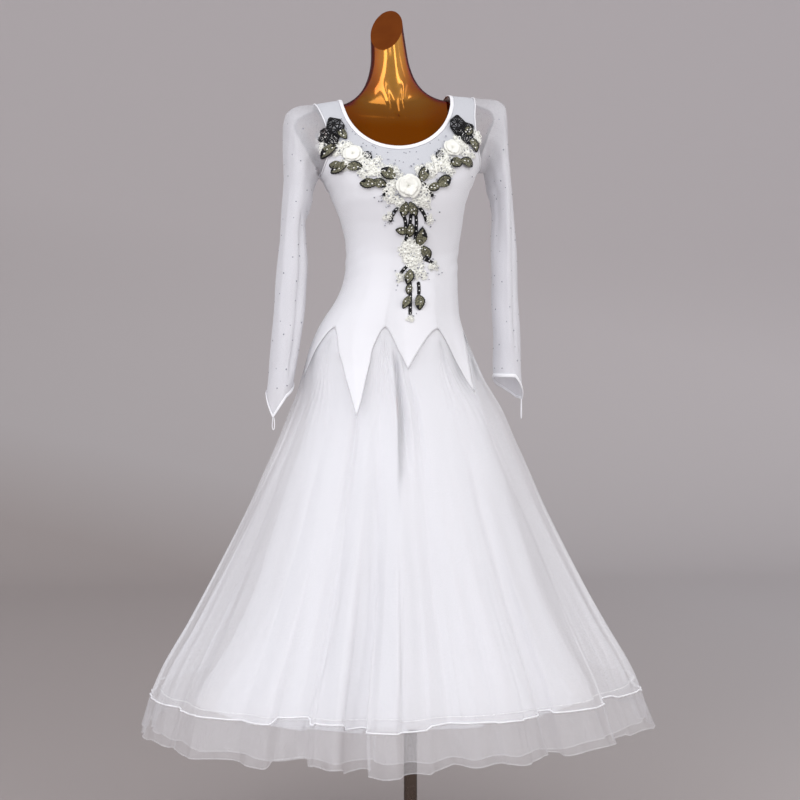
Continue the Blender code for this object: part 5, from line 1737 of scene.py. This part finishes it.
def gathered(name, look, copies):
    """One mesh of many copies: each is (vertices, faces), with its places already on the cloth."""
    places = []
    faces = []
    for vertices, shape in copies:
        start = len(places)
        places += [tuple(v) for v in vertices]
        faces += [tuple(start + v for v in face) for face in shape]
    mesh = bpy.data.meshes.new(name)
    mesh.from_pydata(places, [], faces)
    made = bpy.data.objects.new(name, mesh)
    bpy.context.scene.collection.objects.link(made)
    mesh.materials.append(look.material)
    mesh.shade_smooth()
    return made


def shape_of(piece):
    """A motif's vertices and faces; the motif itself is then cleared away."""
    vertices = np.array([v.co for v in piece.data.vertices])
    faces = [tuple(p.vertices) for p in piece.data.polygons]
    bpy.data.objects.remove(piece)
    return vertices, faces


def laid(motif, across, z, turn, size, lift=0.0):
    """The motif turned by this many degrees, scaled, and laid on the chest."""
    vertices, faces = motif
    turn = np.radians(turn)
    flat = vertices * size
    p = flat[:, 0] * np.cos(turn) - flat[:, 1] * np.sin(turn)
    q = flat[:, 0] * np.sin(turn) + flat[:, 1] * np.cos(turn)
    return chest(across + p, z + q, lift + flat[:, 2]), faces


# %% [markdown]
# ### The motifs
#
# A leaf is a grid drawn in to a pointed outline, with a serrated edge and a fold along its vein. The lattice
# leaf is a coarser one turned to cords by the Wireframe modifier. A petal is a cupped grid, and a rose is
# three rings of petals round a rolled bud. A lace flower is a ring of small corded loops. Beads are spheres
# with few faces, and the stones and sequins are short cones with their tips cut off. A motif's radius or
# length is 1 or near it, so the size it is laid at is that radius or length in metres.


# %% Leaf
LEAF_WALL = 0.02


def begin_grid(columns, rows):
    bpy.ops.object.select_all(action="DESELECT")
    bpy.ops.mesh.primitive_grid_add(x_subdivisions=columns, y_subdivisions=rows, size=1.0)
    return bpy.context.active_object


def thicken(piece, thick):
    wall = piece.modifiers.new("wall", "SOLIDIFY")
    wall.thickness = thick
    wall.offset = 0.0
    bpy.ops.object.modifier_apply(modifier="wall")


def leaf_shape(piece, teeth, fold, curl):
    """Draws a unit grid in to a leaf from 0 to 1 along x."""
    for vertex in piece.data.vertices:
        along = vertex.co.x + 0.5
        side = vertex.co.y * 2
        half = 0.30 * np.sin(np.pi * min(1.0, along * 0.93 + 0.04)) ** 0.8
        half *= 1 + teeth * np.sin(along * 44)
        rise = fold * abs(side) * half * 2 + curl * np.sin(np.pi * along)
        vertex.co = (along, side * half, 0.02 + rise)


leaf = begin_grid(18, 6)
leaf_shape(leaf, teeth=0.07, fold=0.22, curl=0.07)
thicken(leaf, LEAF_WALL)
leaf_motif = shape_of(leaf)
print("leaf", len(leaf_motif[1]), "faces")

# %% Lattice leaf
LATTICE_WIDER = 1.35
LATTICE_CORD = 0.066

lattice = begin_grid(3, 2)
leaf_shape(lattice, teeth=0.0, fold=0.05, curl=0.04)
for vertex in lattice.data.vertices:
    vertex.co.y *= LATTICE_WIDER
bpy.ops.object.mode_set(mode="EDIT")
bpy.ops.mesh.select_all(action="SELECT")
bpy.ops.mesh.poke()
bpy.ops.object.mode_set(mode="OBJECT")
cords = lattice.modifiers.new("cords", "WIREFRAME")
cords.thickness = LATTICE_CORD
bpy.ops.object.modifier_apply(modifier="cords")
lattice_motif = shape_of(lattice)
print("lattice leaf", len(lattice_motif[1]), "faces")


# %% Petals and rings
PETAL_WALL = 0.03


def petal(reach, width, rise, cup):
    """A petal that starts at the middle, leans out to this reach and curls over at its rim."""
    piece = begin_grid(8, 8)
    for vertex in piece.data.vertices:
        along = vertex.co.x + 0.5
        side = vertex.co.y * 2
        half = width * (0.35 + 0.65 * np.sin(np.pi * (0.10 + 0.62 * along)))
        out = reach * along * (1 - 0.18 * side * side)
        height = rise * np.sin(np.pi * 0.62 * along) + cup * side * side * along
        vertex.co = (out, side * half, height)
    thicken(piece, PETAL_WALL)
    return shape_of(piece)


def turned_copy(shape, turn, grow=1.0, lift=0.0):
    """The shape turned about Z by this angle in radians, scaled and lifted."""
    vertices, faces = shape
    c, s = np.cos(turn) * grow, np.sin(turn) * grow
    x, y, z = vertices.T
    return np.stack([x * c - y * s, x * s + y * c, z * grow + lift], 1), faces


def together(shapes):
    """Several shapes as one."""
    vertices = np.concatenate([v for v, _ in shapes])
    starts = np.cumsum([0] + [len(v) for v, _ in shapes])
    faces = [tuple(int(start) + i for i in f) for start, (_, fs) in zip(starts, shapes) for f in fs]
    return vertices, faces


def in_a_ring(shape, count, first, sizes, lift):
    """Copies of a shape evenly round a circle, their sizes taken in turn."""
    turns = [first + i * 2 * np.pi / count for i in range(count)]
    return [turned_copy(shape, turn, sizes[i % len(sizes)], lift) for i, turn in enumerate(turns)]


# %% Rose
BUD_ROLL = 3.2 * np.pi
BUD_WALL = 0.025

outer_petal = petal(reach=1.0, width=0.58, rise=0.34, cup=0.10)
inner_petal = petal(reach=0.66, width=0.46, rise=0.50, cup=0.16)
bud = begin_grid(60, 5)
for vertex in bud.data.vertices:
    share = vertex.co.x + 0.5
    roll = share * BUD_ROLL
    radius = 0.04 + 0.17 * share * (1 + 0.15 * np.sin(3 * roll))
    high = vertex.co.y + 0.5
    vertex.co = (
        radius * np.cos(roll) * (0.8 + 0.2 * high),
        radius * np.sin(roll) * (0.8 + 0.2 * high),
        0.10 + high * (0.46 - 0.16 * share),
    )
thicken(bud, BUD_WALL)
rose_parts = [shape_of(bud)]
rose_parts += in_a_ring(outer_petal, 7, 0.0, (1.0, 0.92, 0.84), 0.02)
rose_parts += in_a_ring(inner_petal, 5, 0.4, (1.12, 1.04), 0.04)
rose_parts += in_a_ring(inner_petal, 3, 0.9, (0.74,), 0.12)
rose_motif = together(rose_parts)
print("rose", len(rose_motif[1]), "faces")


# %% Bead, stone and sequin
def cut_cone(sides, top_radius, height):
    """A flat cone of radius 1 with its tip cut off, standing on its wide end."""
    bpy.ops.object.select_all(action="DESELECT")
    bpy.ops.mesh.primitive_cone_add(
        vertices=sides, radius1=1.0, radius2=top_radius, depth=height, location=(0, 0, height / 2)
    )
    piece = bpy.context.active_object
    bpy.ops.object.transform_apply(location=True)
    return shape_of(piece)


bpy.ops.object.select_all(action="DESELECT")
bpy.ops.mesh.primitive_uv_sphere_add(segments=8, ring_count=5, radius=1.0)
bead_motif = shape_of(bpy.context.active_object)
stone_motif = cut_cone(8, 0.55, 0.5)
sequin_motif = cut_cone(10, 0.35, 0.3)
print("bead", len(bead_motif[1]), "stone", len(stone_motif[1]), "sequin", len(sequin_motif[1]), "faces")

# %% Lace flower
LACE_LOOPS = 6
LOOP_NARROWER = 0.72

bpy.ops.object.select_all(action="DESELECT")
bpy.ops.mesh.primitive_torus_add(
    major_segments=10, minor_segments=4, major_radius=0.29, minor_radius=0.095, location=(0.55, 0, 0.09)
)
loop = bpy.context.active_object
bpy.ops.object.transform_apply(location=True)
for vertex in loop.data.vertices:
    vertex.co.y *= LOOP_NARROWER
lace_loop = shape_of(loop)
small_bead = (bead_motif[0] * 0.24 + (0, 0, 0.14), bead_motif[1])
lace_motif = together(in_a_ring(lace_loop, LACE_LOOPS, 0.0, (1.0,), 0.0) + [small_bead])
print("lace flower", len(lace_motif[1]), "faces")

# %% [markdown]
# ### Where each motif lies
#
# The spray starts at both shoulders, meets in the middle at the largest rose, and runs down to the waist.
# Places are how far across from the middle line and how high. A leaf's turn is where its tip points.

# %% Places
Rose = namedtuple("Rose", "across z radius height")
Leaf = namedtuple("Leaf", "across z turn length")
Lace = namedtuple("Lace", "across z radius")

ROSES = [
    Rose(-0.0048, 1.2465, 0.0225, 0.0095),
    Rose(-0.0958, 1.3095, 0.0165, 0.0075),
    Rose(0.0824, 1.3135, 0.0160, 0.0075),
]
LACE = [
    Lace(-0.1144, 1.3245, 0.0110),
    Lace(-0.1069, 1.2945, 0.0085),
    Lace(-0.0818, 1.3010, 0.0095),
    Lace(-0.0664, 1.2860, 0.0110),
    Lace(-0.0553, 1.2725, 0.0100),
    Lace(-0.0819, 1.2745, 0.0080),
    Lace(-0.0300, 1.2700, 0.0090),
    Lace(0.0200, 1.2700, 0.0090),
    Lace(0.0558, 1.2830, 0.0110),
    Lace(0.0375, 1.2740, 0.0100),
    Lace(0.0689, 1.2960, 0.0095),
    Lace(0.0716, 1.2750, 0.0085),
    Lace(0.1109, 1.3060, 0.0100),
    Lace(0.0970, 1.3255, 0.0090),
    Lace(-0.0320, 1.2465, 0.0100),
    Lace(0.0225, 1.2400, 0.0100),
    Lace(-0.0369, 1.2265, 0.0085),
    Lace(0.0253, 1.2230, 0.0085),
    Lace(-0.0198, 1.2180, 0.0075),
    Lace(0.0089, 1.2180, 0.0075),
    Lace(-0.1440, 1.3370, 0.0080),
    Lace(-0.1400, 1.3290, 0.0070),
    Lace(0.1350, 1.3390, 0.0080),
    Lace(0.1330, 1.3275, 0.0070),
    Lace(-0.0403, 1.1945, 0.0060),
    Lace(0.0337, 1.1895, 0.0060),
    Lace(0.0026, 1.1425, 0.0110),
    Lace(-0.0084, 1.1310, 0.0105),
    Lace(0.0153, 1.1280, 0.0105),
    Lace(0.0046, 1.1160, 0.0110),
    Lace(0.0187, 1.0945, 0.0095),
    Lace(-0.0152, 1.0825, 0.0060),
    Lace(0.0443, 1.1050, 0.0060),
    Lace(0.0169, 1.0070, 0.0050),
]
LEAVES = [
    Leaf(-0.1347, 1.3220, 215, 0.028),
    Leaf(-0.1110, 1.3505, 120, 0.022),
    Leaf(-0.1180, 1.2890, 200, 0.026),
    Leaf(-0.1230, 1.2950, 160, 0.020),
    Leaf(-0.0944, 1.2850, 345, 0.024),
    Leaf(-0.0393, 1.2690, 150, 0.028),
    Leaf(-0.0719, 1.2550, 170, 0.026),
    Leaf(-0.0539, 1.2520, 330, 0.024),
    Leaf(0.0233, 1.2655, 60, 0.026),
    Leaf(0.0599, 1.2550, 25, 0.028),
    Leaf(0.0413, 1.2460, 200, 0.022),
    Leaf(0.0854, 1.2885, 190, 0.025),
    Leaf(0.1080, 1.2895, 345, 0.024),
    Leaf(0.1250, 1.3220, 290, 0.024),
    Leaf(0.1180, 1.3450, 35, 0.022),
    Leaf(-0.0132, 1.2075, 250, 0.024),
    Leaf(0.0022, 1.2075, 290, 0.024),
    Leaf(-0.0156, 1.1710, 170, 0.021),
    Leaf(-0.0022, 1.1710, 260, 0.022),
    Leaf(0.0181, 1.1595, 75, 0.030),
    Leaf(0.0281, 1.1310, 300, 0.026),
    Leaf(-0.0006, 1.0845, 260, 0.025),
    Leaf(0.0028, 1.0620, 90, 0.018),
    Leaf(0.0018, 1.0380, 250, 0.022),
    Leaf(0.0243, 1.0375, 285, 0.026),
]
LATTICES = [
    Leaf(-0.1215, 1.3640, 115, 0.040),
    Leaf(-0.1390, 1.3500, 165, 0.034),
    Leaf(-0.1300, 1.3380, 215, 0.030),
    Leaf(0.1000, 1.3560, 80, 0.040),
    Leaf(0.1150, 1.3480, 30, 0.034),
    Leaf(0.1140, 1.3330, 330, 0.030),
    Leaf(-0.0721, 1.3040, 140, 0.018),
    Leaf(0.0571, 1.3010, 40, 0.018),
]
STEMS = [
    [(-0.0227, 1.2100), (-0.0323, 1.2030), (-0.0363, 1.1885)],
    [(0.0157, 1.2090), (0.0233, 1.2020), (0.0262, 1.1895)],
    [(-0.0159, 1.2000), (-0.0105, 1.1905), (-0.0099, 1.1765)],
    [(-0.0013, 1.1960), (-0.0033, 1.1745), (-0.0091, 1.1530)],
    [(0.0081, 1.1945), (0.0094, 1.1750), (0.0076, 1.1550)],
    [(0.0229, 1.1195), (0.0336, 1.1165), (0.0446, 1.1110)],
    [(-0.0061, 1.1020), (-0.0108, 1.0975), (-0.0146, 1.0910)],
    [(0.0187, 1.0730), (0.0209, 1.0635), (0.0218, 1.0545)],
    [(0.0037, 1.0730), (0.0066, 1.0455), (0.0141, 1.0175)],
    [(-0.0368, 1.2485), (-0.0400, 1.2380), (-0.0463, 1.2315)],
    [(0.0245, 1.2495), (0.0293, 1.2395), (0.0382, 1.2315)],
]

# %% [markdown]
# ### Laying the spray
#
# The three parts of the spray are the left wing, the right wing and the middle. Each kind of motif is one
# piece in each part, so that it can have its own finish. Leaves go under the lace and the roses on top.
# Small things are scattered with a fixed seed, so the result is the same each time.

# %% Parts of the spray
LEFT_EDGE = -0.043
RIGHT_EDGE = 0.047
LOW_EDGE = 1.22  # below the roses all is the middle
WINGS = {"left": (-1.0, LEFT_EDGE), "centre": (LEFT_EDGE, RIGHT_EDGE), "right": (RIGHT_EDGE, 1.0)}
scatter = np.random.default_rng(11)
copies = {}


def part_of(across, z):
    """The name of the spray's part that a place is in."""
    if z < LOW_EDGE:
        return "centre"
    return next(name for name, (low, high) in WINGS.items() if low <= across < high)


def add_copy(kind, across, z, shape):
    copies.setdefault((kind, part_of(across, z)), []).append(shape)


def on_leaf(spot, share, side):
    """A place on a leaf, this share of its length from its stalk and this share of it beside its vein."""
    turn = np.radians(spot.turn)
    across = spot.across - 0.5 * spot.length * np.cos(turn)
    z = spot.z - 0.5 * spot.length * np.sin(turn)
    across = across + spot.length * (share * np.cos(turn) - side * np.sin(turn))
    return across, z + spot.length * (share * np.sin(turn) + side * np.cos(turn))


# %% Leaves
LEAF_LIFT = 0.0012
SHADOW_LIFT = 0.0002
SHADOW_START = -0.06
SHADOW_TURN = 4
SHADOW_SIZE = 1.13
LATTICE_LIFT = 0.0016
LEAF_BEADS = [(0.25, 0.05), (0.5, -0.10), (0.5, 0.12), (0.75, 0.0)]
LEAF_BEAD_CHANCE = 0.6

for spot in LEAVES:
    across, z = on_leaf(spot, 0.0, 0.0)
    add_copy("leaves", spot.across, spot.z, laid(leaf_motif, across, z, spot.turn, spot.length, LEAF_LIFT))
    # A painted shadow under each leaf: a larger black copy of it, laid a little behind and turned, kept with
    # the stems.
    across, z = on_leaf(spot, SHADOW_START, 0.0)
    size = SHADOW_SIZE * spot.length
    painted_shadow = laid(leaf_motif, across, z, spot.turn + SHADOW_TURN, size, SHADOW_LIFT)
    add_copy("stems", spot.across, spot.z, painted_shadow)
    for share, side in LEAF_BEADS:
        p, q = on_leaf(spot, share, side)
        if scatter.random() < LEAF_BEAD_CHANCE:
            add_copy("beads", spot.across, spot.z, laid(bead_motif, p, q, 0, 0.0014, 0.0044))
for spot in LATTICES:
    across, z = on_leaf(spot, 0.0, 0.0)
    shape = laid(lattice_motif, across, z, spot.turn, spot.length, LATTICE_LIFT)
    add_copy("stems", spot.across, spot.z, shape)
    for share in (0.2, 0.35, 0.5, 0.65, 0.8):
        for side in (-0.11, 0.0, 0.11):
            p, q = on_leaf(spot, share, side)
            add_copy("beads", spot.across, spot.z, laid(bead_motif, p, q, 0, 0.0009, 0.0034))

# %% Roses and lace
ROSE_LIFT = 0.0022
ROSE_TURN = 15
LACE_LIFT = 0.0016
LACE_SIZE = 1.3
SMALL_LACE = 9  # small lace flowers round each large one
SMALL_LACE_LIFT = 0.0008

for spot in ROSES:
    shape = (rose_motif[0] * (spot.radius, spot.radius, spot.height), rose_motif[1])
    add_copy("roses", spot.across, spot.z, laid(shape, spot.across, spot.z, ROSE_TURN, 1.0, ROSE_LIFT))
for spot in LACE:
    turn = scatter.uniform(0, 60)
    shape = laid(lace_motif, spot.across, spot.z, turn, LACE_SIZE * spot.radius, LACE_LIFT)
    add_copy("lace", spot.across, spot.z, shape)
    for _ in range(SMALL_LACE):
        away, way = scatter.uniform(0.7, 1.5) * spot.radius, scatter.uniform(0, 2 * np.pi)
        p, q = spot.across + away * np.cos(way), spot.z + away * np.sin(way)
        small = scatter.uniform(0.5, 0.8) * spot.radius
        add_copy("lace", spot.across, spot.z, laid(lace_motif, p, q, turn, small, SMALL_LACE_LIFT))

# %% Stems and sprigs
SEQUIN = 0.0033
SEQUIN_STEP = 0.0026
SEQUIN_TURN = 20
SEQUIN_LIFTS = (0.0008, 0.0012)  # each second one lies on its neighbours
SPRIG_WAYS = (-0.6, 0.0, 0.6)
SPRIG_LENGTH = 0.007

for stem in STEMS:
    start, bend, end = np.array(stem)
    length = np.linalg.norm(bend - start) + np.linalg.norm(end - bend)
    count = int(length / SEQUIN_STEP) + 2
    for i, share in enumerate(np.linspace(0, 1, count)):
        p, q = start * (1 - share) ** 2 + bend * 2 * share * (1 - share) + end * share**2
        shape = laid(sequin_motif, p, q, SEQUIN_TURN * i, SEQUIN, SEQUIN_LIFTS[i % 2])
        add_copy("stems", p, q, shape)
        if i % 4 == 2:
            add_copy("beads", p, q, laid(bead_motif, p, q, 0, 0.0011, 0.0026))
    for way in SPRIG_WAYS:
        lean = np.arctan2(*(end - bend)[::-1]) + way
        tip = end + SPRIG_LENGTH * np.array([np.cos(lean), np.sin(lean)])
        for share in np.linspace(0.15, 1, 5):
            p, q = end + (tip - end) * share
            add_copy("sprigs", end[0], end[1], laid(bead_motif, p, q, 0, 0.0007, 0.0009))

# %% The spray
# The black stems pieces also hold the lattice leaves and the painted shadows under the leaves.
LOOKS = {"leaves": olive, "stems": black, "roses": ivory, "lace": lace, "beads": pearl, "sprigs": silver}
for (kind, part), shapes in sorted(copies.items()):
    piece = gathered(f"applique_{part}_{kind}", LOOKS[kind], shapes)
    belongs(piece, "applique", f"applique_{part}")
    print(piece.name, len(piece.data.polygons), "faces")

# %% [markdown]
# ### Rhinestones
#
# Small flat-backed stones are scattered round the flowers, over the yoke and down both sleeves. They're the
# same cut stone each time, turned at random so that each one glints differently.

# %% Stones on the chest
CHEST_STONES = 190
YOKE_STONES = 45
CHEST_STONE_LIFT = 0.0030
YOKE_STONE = 0.0011
YOKE_STONE_LIFT = 0.0003
YOKE_REACH = 0.115

stones = []
centres = np.array([(s.across, s.z) for s in LACE + ROSES])
while len(stones) < CHEST_STONES:
    spot = centres[scatter.integers(len(centres))] + scatter.normal(0, 0.012, 2)
    if abs(spot[0]) < 0.128 and 1.0 < spot[1] < 1.345:
        turn, size = scatter.uniform(0, 45), scatter.uniform(0.0010, 0.0018)
        stones.append(laid(stone_motif, spot[0], spot[1], turn, size, CHEST_STONE_LIFT))
neck_line = np.array(neck_edge(FRONT_NECK_STEPS))
neck_across = DRESS.across(neck_line[:, 0], neck_line[:, 1])
while len(stones) < CHEST_STONES + YOKE_STONES:
    share = scatter.uniform(-1, 1)
    across = YOKE_REACH * share
    z = V_POINT_Z + 0.060 + 0.055 * abs(share) ** 1.6 + scatter.uniform(-0.040, 0.012)
    if z < np.interp(across, neck_across, neck_line[:, 1]) - 0.003:
        turn = scatter.uniform(0, 45)
        stones.append(laid(stone_motif, across, z, turn, YOKE_STONE, YOKE_STONE_LIFT))
belongs(gathered("chest_stones", crystal, stones), "applique")
print(len(stones), "stones on the chest and yoke")


# %% Stones on the sleeves
STONE_ROWS = 13
STONE_COLUMNS = 6


def set_stone(place, out, turn, size):
    """The cut stone standing on a sleeve, with its face outwards."""
    out = Vector(out).normalized()
    right = out.orthogonal().normalized()
    up = out.cross(right)
    vertices = []
    for v in stone_motif[0] * size:
        x = v[0] * np.cos(turn) - v[1] * np.sin(turn)
        y = v[0] * np.sin(turn) + v[1] * np.cos(turn)
        vertices.append(Vector(place) + right * x + up * y + out * v[2])
    return vertices, stone_motif[1]


for name, sleeve in (("left", left_sleeve), ("right", right_sleeve)):
    shapes = []
    for row in range(STONE_ROWS):
        for column in range(STONE_COLUMNS):
            around = (column + 0.5 * (row % 2) + scatter.uniform(-0.35, 0.35)) / STONE_COLUMNS
            down = 0.05 + 0.9 * (row + scatter.uniform(-0.4, 0.4)) / (STONE_ROWS - 1)
            place, out = sleeve.spot(around, min(max(down, 0.02), 0.97))
            size = scatter.uniform(0.0010, 0.0017)
            shapes.append(set_stone(place, out, scatter.uniform(0, 0.8), size))
    belongs(gathered(f"sleeve_{name}_stones", crystal, shapes), "applique")
    print(len(shapes), "stones on the", name, "sleeve")
